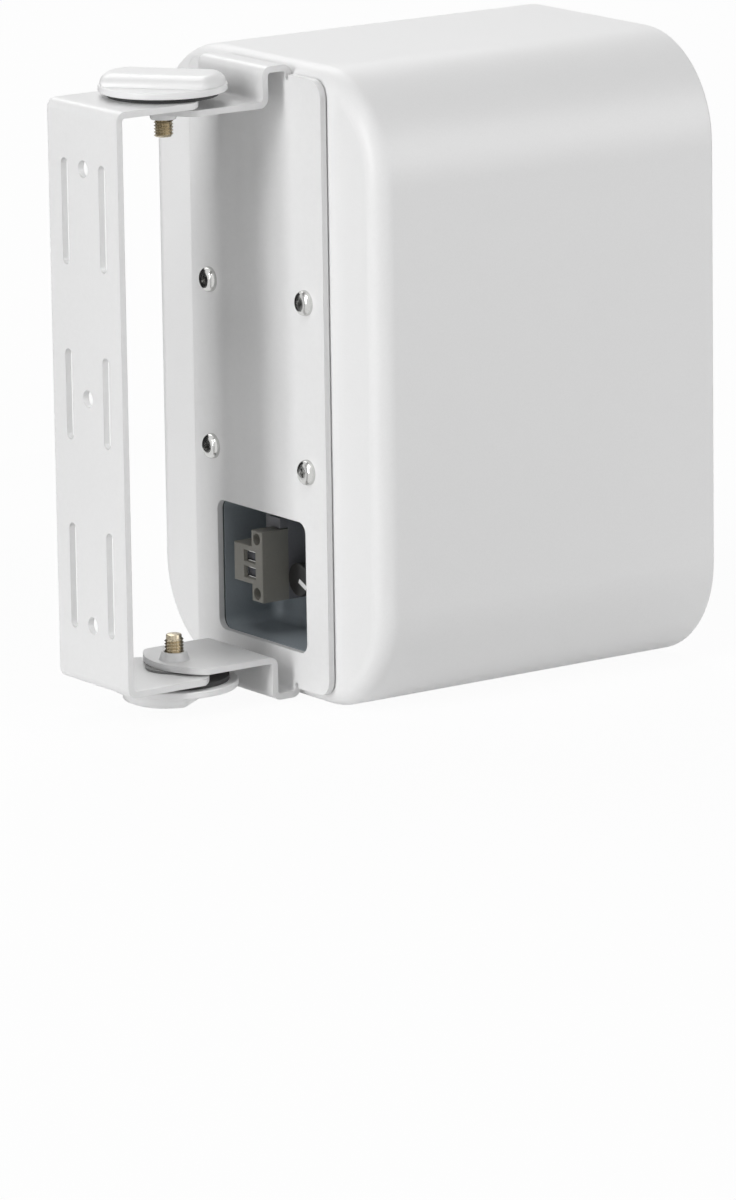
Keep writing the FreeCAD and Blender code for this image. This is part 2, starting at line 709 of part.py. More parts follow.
def tap_switch():
    """Rotary switch behind the recess, its bush reaching through the cup's back wall."""
    z = RECESS_Z + TAP_Z
    face = CUP_BACK - CUP_WALL
    half = TAP_BODY_W / 2
    body = block(TAP_X - half, TAP_X + half, face - TAP_BODY_LONG, face, z - half, z + half)
    bush = rod(TAP_BUSH_R, at(TAP_X, face, z), at(TAP_X, CUP_BACK + TAP_STAND, z))
    bore_end = CUP_BACK + TAP_STAND - TAP_SHAFT_LONG - FIT_GAP
    bore = rod(TAP_SHAFT_R + BOLT_GAP, at(TAP_X, bore_end, z), at(TAP_X, CUP_BACK + TAP_STAND, z))
    return fused([body, bush]).cut(bore)


def tap_knob():
    """Notched selector knob on the switch shaft, with a raised pointer rib on its face."""
    z = RECESS_Z + TAP_Z
    seat = CUP_BACK + TAP_STAND + BOLT_GAP
    front = seat + TAP_KNOB_LONG
    knob = rod(TAP_KNOB_R, at(TAP_X, seat, z), at(TAP_X, front, z))
    notches = [rod(TAP_NOTCH_R, at(TAP_X + x, seat, turn_z), at(TAP_X + x, front, turn_z))
               for x, turn_z in ring_places(TAP_NOTCHES, TAP_KNOB_R, z, 0)]
    shaft = rod(TAP_SHAFT_R, at(TAP_X, CUP_BACK + TAP_STAND - TAP_SHAFT_LONG, z), at(TAP_X, seat, z))
    half = TAP_NOTCH_R
    groove = block(TAP_X - TAP_KNOB_R, TAP_X - TAP_KNOB_R * 0.3, front - half, front, z - half, z + half)
    return fused([knob.cut(notches[0].multiFuse(notches[1:] + [groove])), shaft])


def front_baffle():
    width = CABINET_W - 2 * RIM_WALL - 2 * FIT_GAP
    height = CABINET_H - 2 * RIM_WALL - 2 * FIT_GAP
    baffle = panel(width, height, CORNER_R - RIM_WALL - FIT_GAP, BAFFLE, LEDGE)
    cuts = [rod(WOOFER_HOLE_R, at(0, BAFFLE, WOOFER_Z), at(0, LEDGE, WOOFER_Z)),
            rod(TWEETER_HOLE_R, at(0, BAFFLE, TWEETER_Z), at(0, LEDGE, TWEETER_Z))]
    for x, z in baffle_screw_places():
        cuts.append(rod(BAFFLE_SCREW_R + FIT_GAP, at(x, BAFFLE, z), at(x, LEDGE, z)))
        cuts.append(rod(BAFFLE_HEAD_R + FIT_GAP, at(x, BAFFLE, z), at(x, BAFFLE + BAFFLE_HEAD_H, z)))
    for x, z in woofer_screw_places() + tweeter_screw_places():
        cuts.append(rod(DRIVER_SCREW_R + SCREW_GAP, at(x, BAFFLE, z), at(x, LEDGE, z)))
    return baffle.cut(cuts[0].multiFuse(cuts[1:]))


def baffle_screws():
    return front_screws(baffle_screw_places(), BAFFLE + BAFFLE_HEAD_H, BAFFLE_SCREW_R,
                        BAFFLE_SCREW_LONG, BAFFLE_HEAD_R, BAFFLE_HEAD_H)


def front_grille():
    """Shallow sheet tray whose returned rim stands on the baffle."""
    width = CABINET_W - 2 * RIM_WALL - 2 * FIT_GAP
    height = CABINET_H - 2 * RIM_WALL - 2 * FIT_GAP
    radius = CORNER_R - RIM_WALL - FIT_GAP
    face = FRONT + GRILLE_INSET
    tray = rounded_loop(panel(width, height, radius, face, BAFFLE), face, GRILLE_EDGE_R)
    space = panel(width - 2 * GRILLE_T, height - 2 * GRILLE_T, radius - GRILLE_T, face + GRILLE_T, BAFFLE)
    return tray.cut(space)


def grille_cloth():
    inset = RIM_WALL + FIT_GAP + GRILLE_T + FIT_GAP
    face = FRONT + GRILLE_INSET + GRILLE_T
    return panel(CABINET_W - 2 * inset, CABINET_H - 2 * inset, CORNER_R - inset, face, face + CLOTH_T)


def woofer_basket():
    """Pressed steel frame with four windows between its spokes."""
    front = BAFFLE - WOOFER_FLANGE_T
    skirt = WOOFER_HOLE_R - FIT_GAP
    inner = skirt - BASKET_T
    ledge = BAFFLE + BASKET_LEDGE
    deep = BAFFLE + BASKET_DEEP
    bore = COIL_R + COIL_GAP + WINDING_T + BASKET_T
    profile = [(inner, front), (WOOFER_FLANGE_R, front), (WOOFER_FLANGE_R, BAFFLE), (skirt, BAFFLE),
               (skirt, BAFFLE + BASKET_SKIRT), (BASKET_LEDGE_R + BASKET_T, ledge),
               (BASKET_BASE_R + BASKET_T, ledge + BASKET_T), (BASKET_BASE_R, deep), (bore, deep),
               (bore, deep - BASKET_T), (BASKET_BASE_R - BASKET_T, deep - BASKET_T),
               (BASKET_BASE_R, ledge), (BASKET_LEDGE_R, ledge), (inner, BAFFLE + BASKET_SKIRT)]
    basket = turned_y(profile, WOOFER_Z)
    slot = block(-WINDOW_W / 2, WINDOW_W / 2, BAFFLE + BASKET_SKIRT / 2, ledge - BASKET_T,
                 WOOFER_Z, WOOFER_Z + WOOFER_HOLE_R)
    windows = []
    for index in range(BASKET_WINDOWS):
        window = slot.copy()
        window.rotate(at(0, 0, WOOFER_Z), at(0, 1, 0), 360 / BASKET_WINDOWS * index)
        windows.append(window)
    holes = [rod(DRIVER_SCREW_R + FIT_GAP, at(x, front, z), at(x, BAFFLE, z))
             for x, z in woofer_screw_places()]
    return basket.cut(windows[0].multiFuse(windows[1:] + holes))


def motor_front():
    return BAFFLE + BASKET_DEEP


def woofer_top_plate():
    front = motor_front()
    bore = COIL_R + WINDING_T + COIL_GAP
    return turned_y([(bore, front), (TOP_PLATE_R, front), (TOP_PLATE_R, front + TOP_PLATE_T),
                     (bore, front + TOP_PLATE_T)], WOOFER_Z)


def woofer_magnet():
    front = motor_front() + TOP_PLATE_T
    return turned_y([(MAGNET_BORE_R, front), (MAGNET_R, front), (MAGNET_R, front + MAGNET_T),
                     (MAGNET_BORE_R, front + MAGNET_T)], WOOFER_Z)


def woofer_yoke():
    """Back plate and centre pole, turned as one piece."""
    front = motor_front()
    plate = front + TOP_PLATE_T + MAGNET_T
    pole = COIL_R - COIL_WALL - COIL_GAP
    return turned_y([(0, front), (pole, front), (pole, plate), (TOP_PLATE_R, plate),
                     (TOP_PLATE_R, plate + BACK_PLATE_T), (0, plate + BACK_PLATE_T)], WOOFER_Z)


def cone_neck():
    return BAFFLE + CONE_DEEP


def woofer_coil():
    """Paper former with its winding in the magnet gap."""
    start = cone_neck() - CONE_NECK
    gap = motor_front() + (TOP_PLATE_T - WINDING_LONG) / 2
    inner = COIL_R - COIL_WALL
    outer = COIL_R + WINDING_T
    return turned_y([(inner, start), (COIL_R, start), (COIL_R, gap), (outer, gap),
                     (outer, gap + WINDING_LONG), (inner, gap + WINDING_LONG)], WOOFER_Z)


def woofer_cone():
    """Flared paper cone with a straight lip at its rim and a neck on the former."""
    neck = cone_neck()
    bore = COIL_R + SCREW_GAP
    rim = BAFFLE + CONE_LIP
    bend = (bore + (CONE_R - bore) * 0.42, neck - (neck - rim) * 0.52)
    back_bend = (bend[0] + CONE_T * 0.6, bend[1] + CONE_T)
    profile = [line((bore, neck - CONE_NECK), (bore, neck)),
               line((bore, neck), (bore + CONE_T, neck)),
               arc((bore + CONE_T, neck), back_bend, (CONE_R, rim + CONE_T)),
               line((CONE_R, rim + CONE_T), (CONE_R + CONE_T, rim + CONE_T)),
               line((CONE_R + CONE_T, rim + CONE_T), (CONE_R + CONE_T, BAFFLE)),
               line((CONE_R + CONE_T, BAFFLE), (CONE_R, BAFFLE)),
               line((CONE_R, BAFFLE), (CONE_R, rim)),
               arc((CONE_R, rim), bend, (bore, neck - CONE_NECK))]
    return turned_y(profile, WOOFER_Z)


def cone_front_at(radius):
    """Y of the cone's front face at a radius, read off the cone itself."""
    probe = Part.makeLine(at(radius, BAFFLE + CONE_LIP, WOOFER_Z), at(radius, cone_neck(), WOOFER_Z))
    return min(vertex.Y for vertex in woofer_cone().common(probe).Vertexes)


def dust_cap():
    foot = cone_front_at(CAP_R)
    top = foot - CAP_RISE
    inner_r = CAP_R - CAP_T
    profile = dome(CAP_R, foot, top) + [line((0, top), (0, top + CAP_T))] + dome(inner_r, foot, top + CAP_T)
    return turned_y(profile + [line((inner_r, foot), (CAP_R, foot))], WOOFER_Z)


def woofer_surround():
    """Half-roll rubber surround, its foot on the basket's flange and its inner edge by the cone's lip."""
    face = BAFFLE - WOOFER_FLANGE_T
    back = face - SURROUND_T
    inner = CONE_R + CONE_T + FIT_GAP
    outer = WOOFER_HOLE_R - FIT_GAP - BASKET_T
    foot = outer + SURROUND_FOOT
    middle = (inner + outer) / 2
    profile = [line((inner, face), (inner + SURROUND_T, face)),
               arc((inner + SURROUND_T, face), (middle, face - SURROUND_RISE + SURROUND_T), (outer, face)),
               line((outer, face), (foot, face)), line((foot, face), (foot, back)),
               line((foot, back), (outer + SURROUND_T, back)),
               arc((outer + SURROUND_T, back), (middle, face - SURROUND_RISE), (inner, back)),
               line((inner, back), (inner, face))]
    return turned_y(profile, WOOFER_Z)


def woofer_spider():
    """Corrugated suspension disc between the basket's ledge and the former."""
    seat = BAFFLE + BASKET_LEDGE
    inner = COIL_R + FIT_GAP
    outer = BASKET_LEDGE_R - FIT_GAP
    steps = 2 * SPIDER_RINGS
    span = (BASKET_BASE_R - inner) / steps
    back = [(inner + span * index, seat - SPIDER_WAVE * (index % 2)) for index in range(steps + 1)]
    back.append((outer, seat))
    front = [(radius, y - SPIDER_T) for radius, y in reversed(back)]
    return turned_y(back + front, WOOFER_Z)


def woofer_screws():
    return front_screws(woofer_screw_places(), BAFFLE - WOOFER_FLANGE_T, DRIVER_SCREW_R, DRIVER_SCREW_LONG,
                        DRIVER_HEAD_R, DRIVER_HEAD_H)


def tweeter_plate():
    """Face plate with a shallow flared mouth round the dome."""
    front = BAFFLE - TWEETER_PLATE_T
    profile = [(TWEETER_THROAT_R, BAFFLE), (TWEETER_THROAT_R, BAFFLE - TWEETER_PLATE_T / 3),
               (TWEETER_MOUTH_R, front), (TWEETER_R, front), (TWEETER_R, BAFFLE)]
    holes = [rod(DRIVER_SCREW_R + FIT_GAP, at(x, front, z), at(x, BAFFLE, z))
             for x, z in tweeter_screw_places()]
    return turned_y(profile, TWEETER_Z).cut(holes[0].multiFuse(holes[1:]))


def tweeter_magnet():
    """Motor pot behind the face plate with an annular pocket for the dome's coil."""
    back = BAFFLE + TWEETER_MAGNET_T
    pocket = BAFFLE + TWEETER_POCKET
    pole = DOME_R - DOME_T - FIT_GAP
    bore = DOME_R + FIT_GAP
    step = BAFFLE + FIT_GAP
    return turned_y([(0, step), (pole, step), (pole, pocket), (bore, pocket), (bore, BAFFLE),
                     (TWEETER_MAGNET_R, BAFFLE), (TWEETER_MAGNET_R, back), (0, back)], TWEETER_Z)


def tweeter_dome():
    """Fabric dome with its coil former as one moving piece."""
    foot = BAFFLE - FIT_GAP
    top = foot - DOME_RISE
    end = foot + DOME_COIL
    inner = DOME_R - DOME_T
    outer_side = [line((DOME_R, end), (DOME_R, foot))] + dome(DOME_R, foot, top)
    inner_side = dome(inner, foot, top + DOME_T) + [line((inner, foot), (inner, end))]
    middle = line((0, top), (0, top + DOME_T))
    coil_end = line((inner, end), (DOME_R, end))
    return turned_y(outer_side + [middle] + inner_side + [coil_end], TWEETER_Z)


def tweeter_screws():
    return front_screws(tweeter_screw_places(), BAFFLE - TWEETER_PLATE_T, DRIVER_SCREW_R,
                        DRIVER_SCREW_LONG + TWEETER_PLATE_T - WOOFER_FLANGE_T, DRIVER_HEAD_R, DRIVER_HEAD_H)


def crossover_board():
    board = block(-BOARD_W / 2, BOARD_W / 2, BOARD - BOARD_T, BOARD,
                  BOARD_Z - BOARD_H / 2, BOARD_Z + BOARD_H / 2)
    holes = [rod(BOARD_SCREW_R + SCREW_GAP, at(x, BOARD - BOARD_T, BOARD_Z), at(x, BOARD, BOARD_Z))
             for x in (-BOARD_POST_X, BOARD_POST_X)]
    return board.cut(holes[0].multiFuse(holes[1:]))


def board_screws():
    return front_screws([(-BOARD_POST_X, BOARD_Z), (BOARD_POST_X, BOARD_Z)], BOARD - BOARD_T, BOARD_SCREW_R,
                        BOARD_SCREW_LONG, BOARD_HEAD_R, BOARD_HEAD_H)


def crossover_choke():
    back = BOARD - BOARD_T
    front = back - CHOKE_H
    profile = [(CHOKE_BORE_R, back), (CHOKE_R, back), (CHOKE_R, front), (CHOKE_BORE_R, front)]
    return turned_y(profile, BOARD_Z, CHOKE_X)


def crossover_capacitors():
    back = BOARD - BOARD_T
    front = back - CAPACITOR_T
    return Part.makeCompound([panel(CAPACITOR_W, CAPACITOR_H, CAPACITOR_R, front, back, x, BOARD_Z)
                              for x in CAPACITOR_X])


def core_back():
    return BACK_IN - STRAP_STAND


def transformer_core():
    """Laminated core with a window each side of its middle limb."""
    back = core_back()
    core = block(-CORE_W / 2, CORE_W / 2, back - CORE_T, back,
                 TRANSFORMER_Z - CORE_H / 2, TRANSFORMER_Z + CORE_H / 2)
    inner = CORE_MIDDLE / 2
    outer = CORE_W / 2 - CORE_LIMB
    reach = CORE_H / 2 - CORE_LIMB
    windows = [block(x0, x1, back - CORE_T, back, TRANSFORMER_Z - reach, TRANSFORMER_Z + reach)
               for x0, x1 in ((-outer, -inner), (inner, outer))]
    return core.cut(windows[0].fuse(windows[1]))


def transformer_winding():
    back = core_back()
    outer = CORE_W / 2 - CORE_LIMB - WINDING_GAP
    inner = CORE_MIDDLE / 2 + WINDING_GAP
    reach = CORE_H / 2 - CORE_LIMB - WINDING_GAP
    low = TRANSFORMER_Z - reach
    high = TRANSFORMER_Z + reach
    coil = block(-outer, outer, back - CORE_T - WINDING_BULGE, back + WINDING_BULGE, low, high)
    return coil.cut(block(-inner, inner, back - CORE_T - WINDING_GAP, back + WINDING_GAP, low, high))


def transformer_straps():
    """Angle straps that hold the core's sides and stand on the cabinet's back wall."""
    start = CORE_W / 2
    low = TRANSFORMER_Z - STRAP_W / 2
    high = TRANSFORMER_Z + STRAP_W / 2
    straps = []
    for side in (-1, 1):
        inner = side * start
        wall = side * (start + STRAP_T)
        foot = side * (start + STRAP_FOOT)
        upright = block(min(inner, wall), max(inner, wall), core_back() - CORE_T, BACK_IN, low, high)
        base = block(min(inner, foot), max(inner, foot), BACK_IN - STRAP_T, BACK_IN, low, high)
        straps.append(fused([upright, base]))
    return Part.makeCompound(straps)


def damping_wadding():
    """Soft pad against the cabinet's left side wall."""
    side = CABINET_W / 2 - WALL
    back = BACK_IN - WADDING_BACK
    pad = block(-side, -side + WADDING_T, back - WADDING_D, back,
                MID_Z - WADDING_H / 2, MID_Z + WADDING_H / 2)
    free = [edge for edge in pad.Edges if edge.BoundBox.XMin > -side + WADDING_T / 2]
    return pad.makeFillet(WADDING_R, free)


PIECES = {
    "wall_bracket": wall_bracket,
    "cabinet_shell": cabinet_shell,
    "rear_plate": rear_plate,
    "plate_gasket": plate_gasket,
    "plate_screws": plate_screws,
    "friction_washers": friction_washers,
    "upper_bolt": upper_bolt,
    "upper_knob": lambda: hand_knob(UPPER_KNOB_TURN),
    "lower_bolt": lambda: mirrored(upper_bolt()),
    "lower_knob": lambda: mirrored(hand_knob(LOWER_KNOB_TURN)),
    "terminal_cup": terminal_cup,
    "terminal_header": terminal_header,
    "terminal_plug": terminal_plug,
    "wire_clamps": wire_clamps,
    "clamp_screws": clamp_screws,
    "ear_screws": ear_screws,
    "tap_switch": tap_switch,
    "tap_knob": tap_knob,
    "front_baffle": front_baffle,
    "baffle_screws": baffle_screws,
    "front_grille": front_grille,
    "grille_cloth": grille_cloth,
    "woofer_basket": woofer_basket,
    "woofer_top_plate": woofer_top_plate,
    "woofer_magnet": woofer_magnet,
    "woofer_yoke": woofer_yoke,
    "woofer_coil": woofer_coil,
    "woofer_cone": woofer_cone,
    "dust_cap": dust_cap,
    "woofer_surround": woofer_surround,
    "woofer_spider": woofer_spider,
    "woofer_screws": woofer_screws,
    "tweeter_plate": tweeter_plate,
    "tweeter_magnet": tweeter_magnet,
    "tweeter_dome": tweeter_dome,
    "tweeter_screws": tweeter_screws,
    "crossover_board": crossover_board,
    "board_screws": board_screws,
    "crossover_choke": crossover_choke,
    "crossover_capacitors": crossover_capacitors,
    "transformer_core": transformer_core,
    "transformer_winding": transformer_winding,
    "transformer_straps": transformer_straps,
    "damping_wadding": damping_wadding,
}

os.makedirs("parts", exist_ok=True)
for name, make in PIECES.items():
    shape = make()
    shape.exportStep("parts/" + name + ".step")
    print(f"{name}: {len(shape.Solids)} solids, {shape.Volume:.1f} mm3, valid {shape.isValid()}")
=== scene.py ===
import math

import bmesh
import bpy
from bpy.props import FloatProperty, FloatVectorProperty, PointerProperty
from mathutils import Matrix, Vector


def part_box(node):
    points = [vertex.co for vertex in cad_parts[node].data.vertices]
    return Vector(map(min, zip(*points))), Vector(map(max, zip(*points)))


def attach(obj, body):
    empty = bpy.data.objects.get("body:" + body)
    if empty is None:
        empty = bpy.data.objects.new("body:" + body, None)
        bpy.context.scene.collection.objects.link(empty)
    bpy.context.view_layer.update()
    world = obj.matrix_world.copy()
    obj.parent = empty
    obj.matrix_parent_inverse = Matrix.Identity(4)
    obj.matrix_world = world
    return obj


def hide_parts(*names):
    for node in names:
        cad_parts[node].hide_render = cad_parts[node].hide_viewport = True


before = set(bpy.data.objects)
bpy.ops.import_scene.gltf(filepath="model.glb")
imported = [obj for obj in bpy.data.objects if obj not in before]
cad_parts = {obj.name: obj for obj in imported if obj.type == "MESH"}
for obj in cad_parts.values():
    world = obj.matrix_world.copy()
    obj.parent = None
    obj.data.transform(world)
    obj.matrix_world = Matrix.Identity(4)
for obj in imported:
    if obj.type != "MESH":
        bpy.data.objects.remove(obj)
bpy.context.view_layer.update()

bl_info = {
    "name": "Surface-mount loudspeaker",
    "version": (1, 0, 0),
    "blender": (4, 5, 0),
    "location": "3D View > Sidebar > Loudspeaker",
    "description": "Dresses the solids of a surface-mount loudspeaker on its swivelling wall bracket",
    "category": "Object",
}

MM = 0.001
# Places nearer to each other than this count as one.
NEAR = 0.01 * MM
# A normal or a direction counts as lying along an axis above this cosine.
FACING = 0.99
# An edge with a larger angle than this counts as sharp.
SHARP = math.radians(30)
# Most of a noise pattern lies between these values.
NOISE_LOW = 0.3
NOISE_HIGH = 0.7
# Brightness of the gaps of a weave for that of its threads.
WEAVE_GAP = 0.4
# Period of a wave texture whose scale is 1.
WAVE_PERIOD = 2 * math.pi / 20
# Radius of a hand knob's hub, which the washer lies round.
HUB_RADIUS = 7.5 * MM


def srgb(code):
    """Linear colour from an sRGB hex code."""
    parts = [int(code[i:i + 2], 16) / 255 for i in (1, 3, 5)]
    return tuple(p / 12.92 if p <= 0.04045 else ((p + 0.055) / 1.055) ** 2.4 for p in parts)


def length(label, words, default):
    """Length property in metres from a default in millimetres."""
    return FloatProperty(name=label, description=words, default=default * MM, min=0.0,
                         unit="LENGTH", precision=5)


def colour(label, words, code):
    """Colour property from an sRGB hex code."""
    return FloatVectorProperty(name=label, description=words, default=srgb(code),
                               subtype="COLOR", min=0.0, max=1.0)


class LoudspeakerSizes(bpy.types.PropertyGroup):
    """Sizes of the details that the scene adds to the solids."""

    sheet_edge: length("Sheet edge", "Rounding of the painted sheet's edges", 0.4)
    moulded_edge: length("Moulded edge", "Rounding of small moulded edges", 0.25)
    thread_pitch: length("Thread pitch", "Pitch of the pivot bolts' thread", 1.0)
    thread_depth: length("Thread depth", "Depth of the pivot bolts' thread", 0.55)
    knob_hub: length("Knob hub", "Height of a hand knob's hub", 1.5)
    knob_rim: length("Knob rim", "Height of a hand knob's rim", 2.2)
    grip_height: length("Grip height", "Height of a hand knob's grip over its rim", 3.6)
    grip_round: length("Grip rounding", "Reach of the rounded top edge over a hand knob's grip", 5.4)
    # The washer under a hand knob is dark, so that it also paints the shade in the gap under the knob.
    washer_radius: length("Washer radius", "Radius of the rubber washer under a hand knob", 17.0)
    head_edge: length("Screw head edge", "Rounding of a plate screw's head", 2.05)
    cross_width: length("Cross width", "Width of a bar of a plate screw's cross recess", 1.0)
    cross_span: length("Cross span", "Length of a bar of a plate screw's cross recess", 3.6)
    cross_depth: length("Cross depth", "Depth of a plate screw's cross recess", 1.5)
    cap_height: length("Selector cap", "Height of the cap on the selector knob", 4.6)
    hole_size: length("Grille hole", "Diameter of a hole in the grille", 2.2)
    hole_pitch: length("Grille pitch", "Distance between holes in the grille", 3.4)
    grille_border: length("Grille border", "Plain border round the grille's holes", 5.0)
    grille_edge: length("Grille edge", "Rounding of the grille's front edge", 1.0)
    grille_sheet: length("Grille sheet", "Thickness of the grille's sheet", 0.9)
    grille_corner: length("Grille corner", "Radius of the grille's corners", 30.9)
    cloth_corner: length("Cloth corner", "Radius of the cloth's corners", 29.6)


class LoudspeakerColours(bpy.types.PropertyGroup):
    """Colours of the finishes."""

    cabinet: colour("Cabinet", "Moulded cabinet", "#ECECEC")
    paint: colour("Powder coat", "Bracket, rear plate and grille", "#E9E9E9")
    knob: colour("Knob", "Hand knobs", "#EDEDED")
    gasket: colour("Gasket", "Foam layer under the rear plate", "#4A4A4A")
    steel: colour("Bright steel", "Plate screws and clamps", "#D2D2D0")
    dark_steel: colour("Dark steel", "Blackened screws and motor plates", "#55565A")
    zinc: colour("Yellow zinc", "Pivot bolts", "#CFC3AB")
    washer: colour("Washer", "Friction washers", "#7E7E7E")
    cup: colour("Recess", "Terminal recess", "#A0A8AE")
    plug: colour("Plug", "Terminal plug", "#8C8A83")
    header: colour("Header", "Socket block of the plug", "#7A7A7E")
    black: colour("Black plastic", "Selector, baffle and driver frames", "#1C1C1C")
    mark: colour("Pointer", "Pointer on the selector", "#F0F0F0")
    cloth: colour("Cloth", "Cloth behind the grille", "#1E1E1E")
    cone: colour("Cone", "Pressed paper cone", "#2A2A2A")
    rubber: colour("Rubber", "Half-roll surround", "#202020")
    copper: colour("Copper", "Enamelled windings", "#B0683C")
    board: colour("Board", "Crossover board", "#2E5A38")
    resin: colour("Resin cloth", "Spider", "#A4723A")
    film: colour("Film", "Capacitor cases", "#B23A2C")
    fleece: colour("Fleece", "Wadding", "#D8D8D2")
    ferrite: colour("Ferrite", "Magnet", "#46464A")
    floor: colour("Floor", "Floor", "#F4F4F4")


def add_node(tree, kind, settings=(), links=()):
    """Add a node, set its properties or sockets by name, and link its sockets from other nodes."""
    node = tree.nodes.new(kind)
    for key, value in dict(settings).items():
        if isinstance(key, int) or key in node.inputs:
            node.inputs[key].default_value = value
        else:
            setattr(node, key, value)
    for key, source in dict(links).items():
        tree.links.new(source, node.inputs[key])
    return node


def bare_material(name):
    """New material and its node tree, which is empty."""
    material = bpy.data.materials.new(name)
    material.use_nodes = True
    material.node_tree.nodes.clear()
    return material, material.node_tree


def finish(name, tint, shader_settings, grain_mm, depth_mm, shade, rough_span=0.06,
           edge=None, stretch=(1, 1, 1)):
    """Material whose colour, roughness and relief follow one noise pattern of a real size.

    edge rounds the sharp edges to that radius for the light, and stretch draws the pattern out
    along an axis that has a small value.
    """
    material, tree = bare_material(name)
    place = add_node(tree, "ShaderNodeTexCoord")
    drawn = add_node(tree, "ShaderNodeMapping", {"Scale": stretch}, {"Vector": place.outputs["Object"]})
    noise = add_node(tree, "ShaderNodeTexNoise",
                     {"Scale": 1 / (grain_mm * MM), "Detail": 3.0, "Roughness": 0.55},
                     {"Vector": drawn.outputs["Vector"]})
    ramp = add_node(tree, "ShaderNodeValToRGB", {}, {"Fac": noise.outputs["Fac"]})
    low, high = ramp.color_ramp.elements
    low.position = NOISE_LOW
    low.color = (*[channel * (1 - shade) for channel in tint], 1)
    high.position = NOISE_HIGH
    high.color = (*tint, 1)
    rough = shader_settings["Roughness"]
    span = add_node(tree, "ShaderNodeMapRange",
                    {"From Min": NOISE_LOW, "From Max": NOISE_HIGH,
                     "To Min": rough - rough_span, "To Max": rough + rough_span},
                    {"Value": noise.outputs["Fac"]})
    bump = add_node(tree, "ShaderNodeBump", {"Strength": 1.0, "Distance": depth_mm * MM},
                    {"Height": noise.outputs["Fac"]})
    if edge:
        bevel = add_node(tree, "ShaderNodeBevel", {"samples": 4, "Radius": edge})
        tree.links.new(bevel.outputs["Normal"], bump.inputs["Normal"])
    shader = add_node(tree, "ShaderNodeBsdfPrincipled", shader_settings,
                      {"Base Color": ramp.outputs["Color"], "Roughness": span.outputs["Result"],
                       "Normal": bump.outputs["Normal"]})
    add_node(tree, "ShaderNodeOutputMaterial", {}, {"Surface": shader.outputs["BSDF"]})
    return material


def woven(name, tint, thread_mm, depth_mm, axes, rough):
    """Material of a plain weave: two sets of threads that pass over and under each other."""
    material, tree = bare_material(name)
    place = add_node(tree, "ShaderNodeTexCoord")
    waves = []
    for axis in axes:
        wave = add_node(tree, "ShaderNodeTexWave",
                        {"bands_direction": axis, "Scale": WAVE_PERIOD / (thread_mm * MM)},
                        {"Vector": place.outputs["Object"]})
        waves.append(wave.outputs["Fac"])
    weave = add_node(tree, "ShaderNodeMath", {"operation": "MULTIPLY"}, {0: waves[0], 1: waves[1]})
    ramp = add_node(tree, "ShaderNodeValToRGB", {}, {"Fac": weave.outputs["Value"]})
    low, high = ramp.color_ramp.elements
    low.color = (*[channel * WEAVE_GAP for channel in tint], 1)
    high.color = (*tint, 1)
    bump = add_node(tree, "ShaderNodeBump", {"Strength": 1.0, "Distance": depth_mm * MM},
                    {"Height": weave.outputs["Value"]})
    shader = add_node(tree, "ShaderNodeBsdfPrincipled",
                      {"IOR": 1.5, "Metallic": 0.0, "Roughness": rough, "Sheen Weight": 0.2},
                      {"Base Color": ramp.outputs["Color"], "Normal": bump.outputs["Normal"]})
    add_node(tree, "ShaderNodeOutputMaterial", {}, {"Surface": shader.outputs["BSDF"]})
    return material


